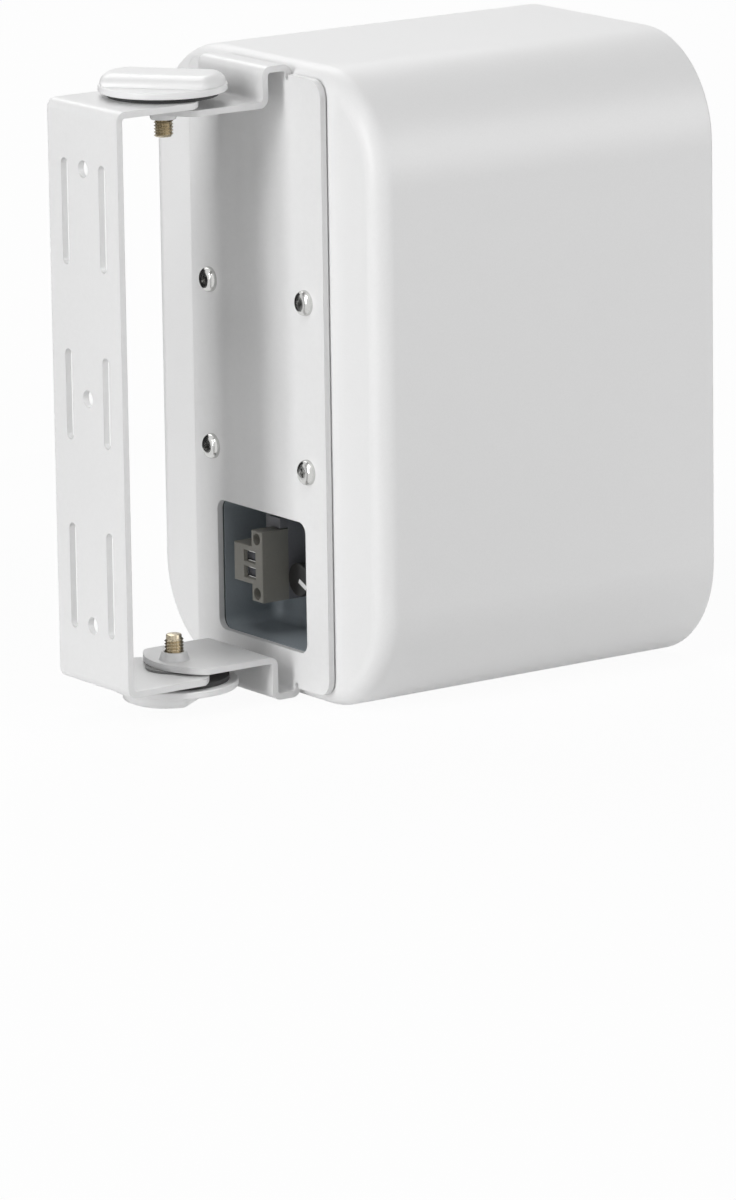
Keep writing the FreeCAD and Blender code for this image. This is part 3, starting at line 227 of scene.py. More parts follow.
def finishes():
    """Every material of the object, by a short name."""
    c = bpy.context.scene.loudspeaker_colours
    s = bpy.context.scene.loudspeaker_sizes
    plain = {"IOR": 1.5, "Metallic": 0.0}
    metal = {"Metallic": 1.0}
    return {
        # Injection-moulded ABS with a fine spark grain, drawn coarser than the real 0.1 mm to show.
        "cabinet": finish("Moulded ABS", c.cabinet, plain | {"Roughness": 0.42},
                          grain_mm=0.7, depth_mm=0.006, shade=0.02),
        # Powder coat flows into a faint orange peel as it cures and draws back round the edges.
        "paint": finish("Powder coat", c.paint, plain | {"Roughness": 0.36},
                        grain_mm=1.6, depth_mm=0.012, shade=0.02, edge=s.sheet_edge),
        # Polished ABS moulding, smooth enough for clear soft reflections.
        "knob": finish("Polished ABS", c.knob, plain | {"Roughness": 0.36},
                       grain_mm=3.0, depth_mm=0.002, shade=0.01, rough_span=0.03, edge=s.moulded_edge),
        # Closed-cell foam rubber, with open cells on its cut edge.
        "gasket": finish("Foam rubber", c.gasket, plain | {"Roughness": 0.85},
                         grain_mm=0.6, depth_mm=0.05, shade=0.25),
        # Bright zinc plate over cold-headed steel, with faint marks from tumbling.
        "steel": finish("Bright zinc plate", c.steel, metal | {"Roughness": 0.16},
                        grain_mm=0.9, depth_mm=0.004, shade=0.06, rough_span=0.05),
        # Phosphated steel, a matt crystal coat.
        "dark_steel": finish("Phosphated steel", c.dark_steel, metal | {"Roughness": 0.45},
                             grain_mm=0.8, depth_mm=0.006, shade=0.15),
        # Yellow chromate over zinc on a rolled thread, uneven in tint and streaked along the bolt.
        "zinc": finish("Yellow zinc plate", c.zinc, metal | {"Roughness": 0.3},
                       grain_mm=0.5, depth_mm=0.004, shade=0.35, rough_span=0.08, stretch=(1, 1, 0.15)),
        # Nylon washers, waxy and even.
        "washer": finish("Nylon", c.washer, plain | {"Roughness": 0.5},
                         grain_mm=0.8, depth_mm=0.006, shade=0.05),
        # Polystyrene recess with a fine moulded grain.
        "cup": finish("Moulded polystyrene", c.cup, plain | {"Roughness": 0.38},
                      grain_mm=0.7, depth_mm=0.006, shade=0.06, edge=s.moulded_edge),
        # Polyamide plug, satin with slight flow marks.
        "plug": finish("Moulded polyamide", c.plug, plain | {"Roughness": 0.5},
                       grain_mm=0.6, depth_mm=0.008, shade=0.08, edge=s.moulded_edge),
        # Glass-filled polyester, a dull grey skin with specks.
        "header": finish("Moulded polyester", c.header, plain | {"Roughness": 0.5},
                         grain_mm=0.6, depth_mm=0.008, shade=0.12, edge=s.moulded_edge),
        # Glass-filled nylon, nearly black with a faint fibre grain.
        "black": finish("Glass-filled nylon", c.black, plain | {"Roughness": 0.45},
                        grain_mm=0.6, depth_mm=0.008, shade=0.2, edge=s.moulded_edge),
        # Filled-in enamel, smooth and opaque.
        "mark": finish("Enamel", c.mark, plain | {"Roughness": 0.3},
                       grain_mm=0.8, depth_mm=0.004, shade=0.04),
        # Open acoustic cloth, a plain weave of 0.4 mm threads.
        "cloth": woven("Acoustic cloth", c.cloth, thread_mm=0.4, depth_mm=0.12, axes=("X", "Z"), rough=0.95),
        # Silk dome, a finer plain weave under a soft sealing coat.
        "dome": woven("Coated silk", c.cloth, thread_mm=0.3, depth_mm=0.05, axes=("X", "Z"), rough=0.7),
        # Pressed paper, matt with a felted fibre relief.
        "cone": finish("Pressed paper", c.cone, plain | {"Roughness": 0.8},
                       grain_mm=0.8, depth_mm=0.05, shade=0.3),
        # Butyl rubber, smooth and slightly glossy.
        "rubber": finish("Butyl rubber", c.rubber, plain | {"Roughness": 0.5},
                         grain_mm=1.0, depth_mm=0.008, shade=0.1),
        # Enamelled copper wire, drawn as turns of 0.6 mm across its winding.
        "copper": finish("Enamelled copper", c.copper, metal | {"Roughness": 0.35},
                         grain_mm=0.6, depth_mm=0.08, shade=0.3, stretch=(0.1, 1, 0.1)),
        # Solder mask over a glass laminate.
        "board": finish("Solder mask", c.board, plain | {"Roughness": 0.35},
                        grain_mm=1.2, depth_mm=0.006, shade=0.15),
        # Cotton stiffened with resin, a coarse weave.
        "resin": woven("Resin cloth", c.resin, thread_mm=0.6, depth_mm=0.1, axes=("X", "Z"), rough=0.85),
        # Dipped epoxy capacitor case, glossy with soft flow.
        "film": finish("Epoxy case", c.film, plain | {"Roughness": 0.35},
                       grain_mm=1.5, depth_mm=0.006, shade=0.08),
        # Polyester fleece, a loose tangle of fibres.
        "fleece": finish("Polyester fleece", c.fleece, plain | {"Roughness": 0.95},
                         grain_mm=1.5, depth_mm=0.4, shade=0.2),
        # Ground ferrite, dull with a fine ground grain.
        "ferrite": finish("Ground ferrite", c.ferrite, plain | {"Roughness": 0.55},
                          grain_mm=0.8, depth_mm=0.01, shade=0.15),
    }


NODE_FINISH = {
    "cabinet_shell": "cabinet", "rear_plate": "paint", "wall_bracket": "paint", "front_grille": "paint",
    "upper_knob": "knob", "lower_knob": "knob", "plate_gasket": "gasket", "plate_screws": "steel",
    "wire_clamps": "steel", "clamp_screws": "steel", "ear_screws": "steel", "board_screws": "steel",
    "transformer_straps": "steel", "baffle_screws": "dark_steel", "woofer_screws": "dark_steel",
    "tweeter_screws": "dark_steel", "woofer_top_plate": "dark_steel", "woofer_yoke": "dark_steel",
    "tweeter_magnet": "dark_steel", "transformer_core": "dark_steel", "upper_bolt": "zinc",
    "lower_bolt": "zinc", "friction_washers": "washer", "terminal_cup": "cup", "terminal_plug": "plug",
    "terminal_header": "header", "tap_switch": "black", "tap_knob": "black", "front_baffle": "black",
    "tweeter_plate": "black", "woofer_basket": "black", "grille_cloth": "cloth", "tweeter_dome": "dome",
    "woofer_cone": "cone", "dust_cap": "cone", "woofer_coil": "copper", "crossover_choke": "copper",
    "transformer_winding": "copper", "woofer_surround": "rubber", "woofer_spider": "resin",
    "crossover_board": "board", "crossover_capacitors": "film", "damping_wadding": "fleece",
    "woofer_magnet": "ferrite",
}


def set_finish(piece, material):
    """Give the piece one material."""
    piece.data.materials.clear()
    piece.data.materials.append(material)


def only(piece):
    """Select one piece and make it the active one."""
    bpy.ops.object.select_all(action="DESELECT")
    piece.select_set(True)
    bpy.context.view_layer.objects.active = piece


def settle(piece):
    """Put the piece's place, turn and size into its mesh."""
    only(piece)
    bpy.ops.object.transform_apply(location=True, rotation=True, scale=True)


def modified(piece, kind, settings):
    """Add a modifier to the piece and apply it."""
    only(piece)
    modifier = piece.modifiers.new(kind, kind)
    for key, value in settings.items():
        setattr(modifier, key, value)
    bpy.ops.object.modifier_apply(modifier=modifier.name)


def edged(piece, width, segments):
    """Round the piece's sharp edges."""
    modified(piece, "BEVEL", {"width": width, "segments": segments, "limit_method": "ANGLE",
                              "angle_limit": SHARP})


def combined(piece, other, operation):
    """Combine a piece with another one, which is used up."""
    settle(other)
    modified(piece, "BOOLEAN", {"object": other, "operation": operation, "solver": "EXACT"})
    bpy.data.objects.remove(other)


def joined(pieces):
    """Join pieces into the first of them."""
    only(pieces[0])
    for piece in pieces[1:]:
        piece.select_set(True)
    bpy.ops.object.join()
    return pieces[0]


def selected(piece, kind, test):
    """Open the piece for editing with only the faces or edges selected that pass the test."""
    only(piece)
    bpy.ops.object.mode_set(mode="EDIT")
    bpy.ops.mesh.select_mode(type="FACE" if kind == "faces" else "EDGE")
    bpy.ops.mesh.select_all(action="DESELECT")
    mesh = bmesh.from_edit_mesh(piece.data)
    for item in getattr(mesh, kind):
        if test(item):
            item.select_set(True)
    bmesh.update_edit_mesh(piece.data)


def shaped():
    """Close the piece that is open for editing."""
    bpy.ops.object.mode_set(mode="OBJECT")


def dressed(piece, name, body, material, nodes=(), angle=30):
    """Name and smooth a finished piece, and give it its material, body and replaced nodes."""
    piece.name = name
    piece.data.name = name
    settle(piece)
    bpy.ops.object.shade_smooth_by_angle(angle=math.radians(angle))
    set_finish(piece, material)
    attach(piece, body)
    if nodes:
        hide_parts(*nodes)


def rounded_block(context, low, high, corner, segments):
    """Block that fills a box, with the corners of its front view rounded."""
    bpy.ops.object.select_all(action="DESELECT")
    bpy.ops.mesh.primitive_cube_add(size=1.0, location=(low + high) / 2)
    block = context.object
    block.scale = high - low
    settle(block)
    selected(block, "edges",
             lambda edge: abs((edge.verts[0].co - edge.verts[1].co).normalized().y) > FACING)
    bpy.ops.mesh.bevel(offset=corner, segments=segments)
    shaped()
    return block


def inset_of(point, half_width, half_height, radius):
    """Distance of a point inside the outline of a rectangle with rounded corners."""
    x = abs(point[0]) - (half_width - radius)
    z = abs(point[1]) - (half_height - radius)
    outside = math.hypot(max(x, 0.0), max(z, 0.0))
    return radius - outside - min(max(x, z), 0.0)


class LOUDSPEAKER_OT_finishes(bpy.types.Operator):
    """Give every solid its real finish."""

    bl_idname = "loudspeaker.finishes"
    bl_label = "Finishes"

    def execute(self, context):
        made = finishes()
        for node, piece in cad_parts.items():
            set_finish(piece, made[NODE_FINISH[node]])
        return {"FINISHED"}


def material_of(node):
    """Material that the finishes gave to a node."""
    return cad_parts[node].data.materials[0]


class LOUDSPEAKER_OT_pivot_bolts(bpy.types.Operator):
    """Model the pivot bolts with their hexagon heads and rolled threads."""

    bl_idname = "loudspeaker.pivot_bolts"
    bl_label = "Pivot bolts"

    HEAD = 4.0 * MM
    HEAD_EDGE = 0.3 * MM
    RADIUS = 3.0 * MM
    # Length of the part without a thread, and how far it lies inside the thread's crest.
    PLAIN = 2.5 * MM
    PLAIN_STEP = 0.02 * MM
    TIP_EDGE = 0.4 * MM
    # The thread ends at least this share of a turn before the tip.
    THREAD_END = 0.3
    # Steps in a turn of the thread.
    TURN_STEPS = 28

    def execute(self, context):
        for node, body, upside_down in (("upper_bolt", "upper_hand_knob", True),
                                        ("lower_bolt", "lower_hand_knob", False)):
            low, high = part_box(node)
            middle = (low + high) / 2
            bolt = self.make_bolt(context, high.z - low.z, high.x - low.x)
            if upside_down:
                bolt.rotation_euler = (math.pi, 0, 0)
            bolt.location = (middle.x, middle.y, high.z if upside_down else low.z)
            dressed(bolt, node + "_thread", body, material_of(node), [node])
        return {"FINISHED"}

    def make_bolt(self, context, total, corners):
        """Bolt that stands on its head, with its tip up."""
        s = context.scene.loudspeaker_sizes
        root = self.RADIUS - s.thread_depth
        bpy.ops.object.select_all(action="DESELECT")
        bpy.ops.mesh.primitive_cylinder_add(vertices=6, radius=corners / 2, depth=self.HEAD,
                                            location=(0, 0, self.HEAD / 2), rotation=(0, 0, math.pi / 2))
        head = context.object
        settle(head)
        edged(head, self.HEAD_EDGE, 2)
        plain_long = self.PLAIN + self.HEAD / 2
        bpy.ops.mesh.primitive_cylinder_add(vertices=32, radius=self.RADIUS - self.PLAIN_STEP,
                                            depth=plain_long,
                                            location=(0, 0, self.HEAD / 2 + plain_long / 2))
        plain = context.object
        core_long = total - self.HEAD / 2
        bpy.ops.mesh.primitive_cylinder_add(vertices=32, radius=root, depth=core_long,
                                            location=(0, 0, self.HEAD / 2 + core_long / 2))
        core = context.object
        settle(core)
        selected(core, "edges", lambda edge: all(v.co.z > total - NEAR for v in edge.verts))
        bpy.ops.mesh.bevel(offset=self.TIP_EDGE, segments=2)
        shaped()
        start = self.HEAD + self.PLAIN
        turns = math.floor((total - start) / s.thread_pitch - self.THREAD_END)
        bpy.ops.mesh.primitive_circle_add(vertices=4, radius=s.thread_pitch / 2, location=(root, 0, start),
                                          rotation=(math.pi / 2, 0, 0))
        coil = context.object
        coil.scale = (s.thread_depth / (s.thread_pitch / 2), 1, 1)
        settle(coil)
        modified(coil, "SCREW", {"axis": "Z", "screw_offset": s.thread_pitch, "iterations": turns,
                                 "steps": self.TURN_STEPS, "render_steps": self.TURN_STEPS})
        only(coil)
        bpy.ops.object.mode_set(mode="EDIT")
        bpy.ops.mesh.select_all(action="SELECT")
        bpy.ops.mesh.fill_holes(sides=4)
        bpy.ops.mesh.normals_make_consistent(inside=False)
        shaped()
        return joined([head, plain, core, coil])


class LOUDSPEAKER_OT_hand_knobs(bpy.types.Operator):
    """Model the hand knobs as rimmed discs with a wide rounded grip across them."""

    bl_idname = "loudspeaker.hand_knobs"
    bl_label = "Hand knobs"

    # Angle of each knob's grip from X, in degrees.
    UPPER_TURN = 38.5
    LOWER_TURN = 124.5
    # The grip's plan is a circle of this many sides, made flat beyond this angle from its length.
    GRIP_SIDES = 36
    GRIP_CORNER = math.radians(35)
    # Height of the rounded top edge for its width, its width at the ends for that at the sides,
    # and the steps that it is drawn in.
    GRIP_FLATNESS = 0.6
    GRIP_END = 0.7
    GRIP_STEPS = 8
    # The grip stays inside the rim, sinks into it and keeps a flat border round its top.
    GRIP_MARGIN = 0.5 * MM
    GRIP_SUNK = 0.8 * MM
    GRIP_BORDER = 0.5 * MM
    RIM_EDGE = 0.45 * MM
    # Play round the bolt's head in its pocket.
    POCKET_PLAY = 0.05 * MM

    def execute(self, context):
        for node, body, bolt, turn, up in (
                ("upper_knob", "upper_hand_knob", "upper_bolt", self.UPPER_TURN, True),
                ("lower_knob", "lower_hand_knob", "lower_bolt", self.LOWER_TURN, False)):
            low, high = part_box(node)
            bolt_low, bolt_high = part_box(bolt)
            middle = (low + high) / 2
            knob = self.make_knob(context, (high.x - low.x) / 2, bolt_high.x - bolt_low.x)
            knob.rotation_euler = (0, 0, math.radians(turn if up else -turn))
            settle(knob)
            if not up:
                knob.rotation_euler = (math.pi, 0, 0)
            knob.location = (middle.x, middle.y, low.z if up else high.z)
            dressed(knob, node + "_grip", body, material_of(node), [node], angle=60)
            modified(knob, "WEIGHTED_NORMAL", {"keep_sharp": True, "weight": 100})
        return {"FINISHED"}

    def make_knob(self, context, radius, bolt_corners):
        """Knob that stands on its hub, with its grip along X and a pocket for the bolt's head."""
        s = context.scene.loudspeaker_sizes
        rim_top = s.knob_hub + s.knob_rim
        bpy.ops.object.select_all(action="DESELECT")
        bpy.ops.mesh.primitive_cylinder_add(vertices=96, radius=radius, depth=s.knob_rim,
                                            location=(0, 0, s.knob_hub + s.knob_rim / 2))
        knob = context.object
        settle(knob)
        edged(knob, self.RIM_EDGE, 3)
        bpy.ops.mesh.primitive_cylinder_add(vertices=64, radius=HUB_RADIUS, depth=2 * s.knob_hub,
                                            location=(0, 0, s.knob_hub))
        combined(knob, context.object, "UNION")
        combined(knob, self.make_grip(context, radius - self.GRIP_MARGIN, rim_top), "UNION")
        pocket = LOUDSPEAKER_OT_pivot_bolts.HEAD + self.POCKET_PLAY
        bpy.ops.mesh.primitive_cylinder_add(vertices=6, radius=bolt_corners / 2 + self.POCKET_PLAY,
                                            depth=2 * pocket, rotation=(0, 0, math.pi / 2))
        combined(knob, context.object, "DIFFERENCE")
        return knob

    def make_grip(self, context, reach, foot):
        """Grip with flat long sides, round ends and a rounded top edge."""
        s = context.scene.loudspeaker_sizes
        edge_high = s.grip_round * self.GRIP_FLATNESS
        side_high = s.grip_height + self.GRIP_SUNK - edge_high
        bpy.ops.mesh.primitive_cylinder_add(vertices=self.GRIP_SIDES, radius=reach, depth=side_high,
                                            location=(0, 0, foot - self.GRIP_SUNK + side_high / 2),
                                            rotation=(0, 0, math.pi / self.GRIP_SIDES))
        grip = context.object
        settle(grip)
        half_width = reach * math.sin(self.GRIP_CORNER)
        for side in (-1, 1):
            selected(grip, "edges",
                     lambda edge: all(side * v.co.y > half_width - NEAR for v in edge.verts))
            bpy.ops.transform.resize(value=(1, 0, 1), center_override=(0, side * half_width, 0))
            bpy.ops.mesh.select_all(action="SELECT")
            bpy.ops.mesh.dissolve_limited(angle_limit=math.radians(1))
            shaped()
        selected(grip, "faces", lambda face: face.normal.z > FACING)
        drawn_in = 0.0
        risen = 0.0
        for step in range(1, self.GRIP_STEPS + 1):
            angle = math.pi / 2 * step / self.GRIP_STEPS
            next_in = s.grip_round * (1 - math.cos(angle))
            next_rise = edge_high * math.sin(angle)
            shrink = [(half - share * next_in) / (half - share * drawn_in)
                      for half, share in ((reach, self.GRIP_END), (half_width, 1.0))]
            bpy.ops.mesh.extrude_region_move(TRANSFORM_OT_translate={"value": (0, 0, next_rise - risen)})
            bpy.ops.transform.resize(value=(*shrink, 1), center_override=(0, 0, 0))
            drawn_in = next_in
            risen = next_rise
        bpy.ops.mesh.inset(thickness=self.GRIP_BORDER)
        shaped()
        return grip


class LOUDSPEAKER_OT_shade_washers(bpy.types.Operator):
    """Model dark rubber washers between the hand knobs and the bracket's arms; their dark foam also paints
    the shade in the gap under each knob.
    """

    bl_idname = "loudspeaker.knob_washers"
    bl_label = "Knob washers"

    # Play round the hub, and over the washer's thickness.
    PLAY = 0.1 * MM

    def execute(self, context):
        s = context.scene.loudspeaker_sizes
        for node, body, up in (("upper_knob", "upper_hand_knob", True),
                               ("lower_knob", "lower_hand_knob", False)):
            low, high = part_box(node)
            middle = (low + high) / 2
            washer_z = low.z + s.knob_hub / 2 if up else high.z - s.knob_hub / 2
            place = (middle.x, middle.y, washer_z)
            bpy.ops.object.select_all(action="DESELECT")
            bpy.ops.mesh.primitive_cylinder_add(vertices=64, radius=s.washer_radius,
                                                depth=s.knob_hub - self.PLAY, location=place)
            washer = context.object
            settle(washer)
            bpy.ops.mesh.primitive_cylinder_add(vertices=64, radius=HUB_RADIUS + self.PLAY,
                                                depth=2 * s.knob_hub, location=place)
            combined(washer, context.object, "DIFFERENCE")
            # The washer takes the gasket's dark foam, which also stands in as painted shade in the gap under
            # the knob.
            dressed(washer, node + "_washer", body, material_of("plate_gasket"))
        return {"FINISHED"}


class LOUDSPEAKER_OT_plate_screws(bpy.types.Operator):
    """Model the four pan-head screws of the rear plate with their cross recesses."""

    bl_idname = "loudspeaker.plate_screws"
    bl_label = "Plate screws"

    # Turn of each screw's cross, in degrees.
    TURNS = (12, 55, 78, 31)
    HEAD_RADIUS = 4.0 * MM
    HEAD_HEIGHT = 2.2 * MM
    HEAD_PROFILE = 0.55
    SHANK_RADIUS = 2.0 * MM
    SHANK_EDGE = 0.3 * MM
    # Size of a cross recess at its bottom for that at its mouth.
    CROSS_TAPER = 0.5

    def execute(self, context):
        low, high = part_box("plate_screws")
        plate_out = high.y - self.HEAD_HEIGHT
        places = [(x, z) for z in (low.z + self.HEAD_RADIUS, high.z - self.HEAD_RADIUS)
                  for x in (low.x + self.HEAD_RADIUS, high.x - self.HEAD_RADIUS)]
        screws = []
        for (x, z), turn in zip(places, self.TURNS):
            screw = self.make_screw(context, plate_out - low.y)
            screw.rotation_euler = (0, 0, math.radians(turn))
            settle(screw)
            screw.rotation_euler = (-math.pi / 2, 0, 0)
            screw.location = (x, plate_out, z)
            settle(screw)
            screws.append(screw)
        piece = joined(screws)
        dressed(piece, "plate_screw_heads", "speaker", material_of("plate_screws"),
                ["plate_screws"])
        return {"FINISHED"}

    def make_screw(self, context, shank_long):
        """Screw with its head on top of the plane z = 0."""
        s = context.scene.loudspeaker_sizes
        head_h = self.HEAD_HEIGHT
        bpy.ops.object.select_all(action="DESELECT")
        bpy.ops.mesh.primitive_cylinder_add(vertices=48, radius=self.HEAD_RADIUS, depth=head_h,
                                            location=(0, 0, head_h / 2))
        head = context.object
        settle(head)
        selected(head, "edges", lambda edge: all(v.co.z > head_h - NEAR for v in edge.verts))
        bpy.ops.mesh.bevel(offset=s.head_edge, segments=8, profile=self.HEAD_PROFILE)
        shaped()
        for turn in (0, math.pi / 2):
            bpy.ops.mesh.primitive_cube_add(size=1.0, location=(0, 0, head_h))
            bar = context.object
            bar.scale = (s.cross_span, s.cross_width, 2 * s.cross_depth)
            bar.rotation_euler = (0, 0, turn)
            settle(bar)
            selected(bar, "faces", lambda face: face.normal.z < -FACING)
            bpy.ops.transform.resize(value=(self.CROSS_TAPER, self.CROSS_TAPER, 1.0))
            shaped()
            combined(head, bar, "DIFFERENCE")
        bpy.ops.mesh.primitive_cylinder_add(vertices=24, radius=self.SHANK_RADIUS, depth=shank_long,
                                            location=(0, 0, -shank_long / 2))
        shank = context.object
        settle(shank)
        edged(shank, self.SHANK_EDGE, 2)
        return joined([head, shank])


class LOUDSPEAKER_OT_grille(bpy.types.Operator):
    """Model the grille as a tray with a perforated sheet set in its front."""

    bl_idname = "loudspeaker.grille"
    bl_label = "Perforated grille"

    # The perforated sheet sits this far behind the tray's front face.
    STEP = 0.06 * MM

    def execute(self, context):
        low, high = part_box("front_grille")
        tray = self.make_tray(context, low, high)
        sheet = self.make_sheet(context, low, high)
        piece = joined([tray, sheet])
        dressed(piece, "perforated_grille", "speaker", material_of("front_grille"),
                ["front_grille"])
        return {"FINISHED"}

    def make_tray(self, context, low, high):
        """Shallow tray with rounded corners, a rounded front edge and an open front."""
        s = context.scene.loudspeaker_sizes
        tray = rounded_block(context, low, high, s.grille_corner, 20)
        selected(tray, "faces", lambda face: face.normal.y > FACING)
        bpy.ops.mesh.delete(type="FACE")
        shaped()
        selected(tray, "edges", lambda edge: all(v.co.y < low.y + NEAR for v in edge.verts))
        bpy.ops.mesh.bevel(offset=s.grille_edge, segments=4)
        shaped()
        selected(tray, "faces", lambda face: face.normal.y < -FACING)
        bpy.ops.mesh.inset(thickness=s.grille_border - s.grille_edge)
        bpy.ops.mesh.delete(type="FACE")
        shaped()
        modified(tray, "SOLIDIFY", {"thickness": s.grille_sheet, "offset": -1.0, "use_even_offset": True})
        return tray

    def make_sheet(self, context, low, high):
        """Sheet of hexagon cells, with a round hole in each cell that lies clear of the border."""
        s = context.scene.loudspeaker_sizes
        pitch = s.hole_pitch
        row = pitch * math.sqrt(3) / 2
        corner = pitch / math.sqrt(3)
        across = math.ceil((high.x - low.x) / pitch) + 2
        pairs = math.ceil((high.z - low.z) / row / 2) + 1
        middle = (low + high) / 2
        first = (middle.x - (across - 0.5) / 2 * pitch, low.y + self.STEP,
                 middle.z - (pairs - 0.5) * row)
        bpy.ops.object.select_all(action="DESELECT")
        bpy.ops.mesh.primitive_circle_add(vertices=6, radius=corner, fill_type="NGON", location=first,
                                          rotation=(math.pi / 2, 0, 0))
        sheet = context.object
        settle(sheet)
        selected(sheet, "edges", lambda edge: True)
        bpy.ops.mesh.subdivide(number_cuts=1)
        shaped()
        selected(sheet, "faces", lambda face: True)
        # An inset draws a side's middle in by its thickness and a corner by 2 / sqrt(3) of it.
        mean_edge = (pitch / 2 + corner) / 2
        mean_draw = (1 + 2 / math.sqrt(3)) / 2
        bpy.ops.mesh.inset(thickness=(mean_edge - s.hole_size / 2) / mean_draw)
        bpy.ops.transform.tosphere(value=1.0)
        shaped()
        for count, step in ((across, (pitch, 0, 0)), (2, (pitch / 2, 0, row)), (pairs, (0, 0, 2 * row))):
            modified(sheet, "ARRAY", {"count": count, "use_relative_offset": False,
                                      "use_constant_offset": True, "constant_offset_displace": step})
        half_w = (high.x - low.x) / 2
        half_h = (high.z - low.z) / 2

        def inset(vertex):
            point = (vertex.co.x - middle.x, vertex.co.z - middle.z)
            return inset_of(point, half_w, half_h, s.grille_corner)

        selected(sheet, "faces", lambda face: any(inset(v) < s.grille_sheet for v in face.verts))
        bpy.ops.mesh.delete(type="FACE")
        shaped()
        clear = s.grille_border + (pitch - s.hole_size) / 2
        selected(sheet, "faces",
                 lambda face: len(face.verts) > 4 and all(inset(v) > clear for v in face.verts))
        bpy.ops.mesh.delete(type="FACE")
        bpy.ops.mesh.select_all(action="SELECT")
        bpy.ops.mesh.remove_doubles(threshold=NEAR)
        shaped()
        modified(sheet, "SOLIDIFY", {"thickness": s.grille_sheet - self.STEP, "offset": -1.0})
        return sheet


class LOUDSPEAKER_OT_cloth(bpy.types.Operator):
    """Model the acoustic cloth that is stretched behind the grille."""

    bl_idname = "loudspeaker.cloth"
    bl_label = "Acoustic cloth"

    def execute(self, context):
        s = context.scene.loudspeaker_sizes
        low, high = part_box("grille_cloth")
        cloth = rounded_block(context, low, high, s.cloth_corner, 16)
        dressed(cloth, "stretched_cloth", "speaker", material_of("grille_cloth"),
                ["grille_cloth"])
        return {"FINISHED"}


class LOUDSPEAKER_OT_wadding(bpy.types.Operator):
    """Model the fleece pad on the side wall as a soft crowned form with a loose face."""

    bl_idname = "loudspeaker.wadding"
    bl_label = "Wadding"

    # The pad starts smaller than its space by this, which leaves room for its loose face.
    ROOM = 1.5 * MM
    EDGE = 3.5 * MM
    VOXEL = 2.0 * MM
    # Size and height of the loose face's waves.
    WAVE = 9.0 * MM
    WAVE_HEIGHT = 2.0 * MM
    # Faces within this distance of the wall's side are pressed flat.
    PRESSED = 1.6 * MM

    def execute(self, context):
        low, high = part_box("damping_wadding")
        bpy.ops.object.select_all(action="DESELECT")
        bpy.ops.mesh.primitive_cube_add(size=1.0, location=(low + high) / 2)
        pad = context.object
        pad.scale = high - low - Vector((1, 1, 1)) * self.ROOM
        settle(pad)
        edged(pad, self.EDGE, 3)
        modified(pad, "REMESH", {"mode": "VOXEL", "voxel_size": self.VOXEL})
        modified(pad, "SMOOTH", {"factor": 0.5, "iterations": 10})
        tangle = bpy.data.textures.new("fleece_tangle", "CLOUDS")
        tangle.noise_scale = self.WAVE
        modified(pad, "DISPLACE", {"texture": tangle, "strength": self.WAVE_HEIGHT, "mid_level": 0.5})
        selected(pad, "faces", lambda face: face.calc_center_median().x < low.x + self.PRESSED)
        bpy.ops.transform.resize(value=(0, 1, 1))
        shaped()
        dressed(pad, "fleece_pad", "speaker", material_of("damping_wadding"),
                ["damping_wadding"], angle=80)
        return {"FINISHED"}


class LOUDSPEAKER_OT_clamp_jaws(bpy.types.Operator):
    """Model the jaws that the clamp screws press against the wires in the plug."""

    bl_idname = "loudspeaker.clamp_jaws"
    bl_label = "Clamp jaws"

    POLE_PITCH = 5.08 * MM
    # Thickness of a cage's wall with a little play, depth of a jaw behind the cage's front,
    # and width of the slit for the wire.
    WALL = 0.55 * MM
    SINK = 0.5 * MM
    SLIT = 1.5 * MM
    EDGE = 0.25 * MM

    def execute(self, context):
        low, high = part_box("wire_clamps")
        cage_high = high.z - low.z - self.POLE_PITCH
        size = Vector((high.x - low.x - 2 * self.WALL - self.SLIT, high.y - low.y - 2 * self.SINK,
                       cage_high - 2 * self.WALL))
        jaws = []
        for z in (low.z + cage_high / 2, high.z - cage_high / 2):
            place = (high.x - self.WALL - size.x / 2, (low.y + high.y) / 2, z)
            bpy.ops.object.select_all(action="DESELECT")
            bpy.ops.mesh.primitive_cube_add(size=1.0, location=place)
            jaw = context.object
            jaw.scale = size
            settle(jaw)
            edged(jaw, self.EDGE, 2)
            jaws.append(jaw)
        dressed(joined(jaws), "clamp_jaws", "speaker", material_of("woofer_yoke"))
        return {"FINISHED"}


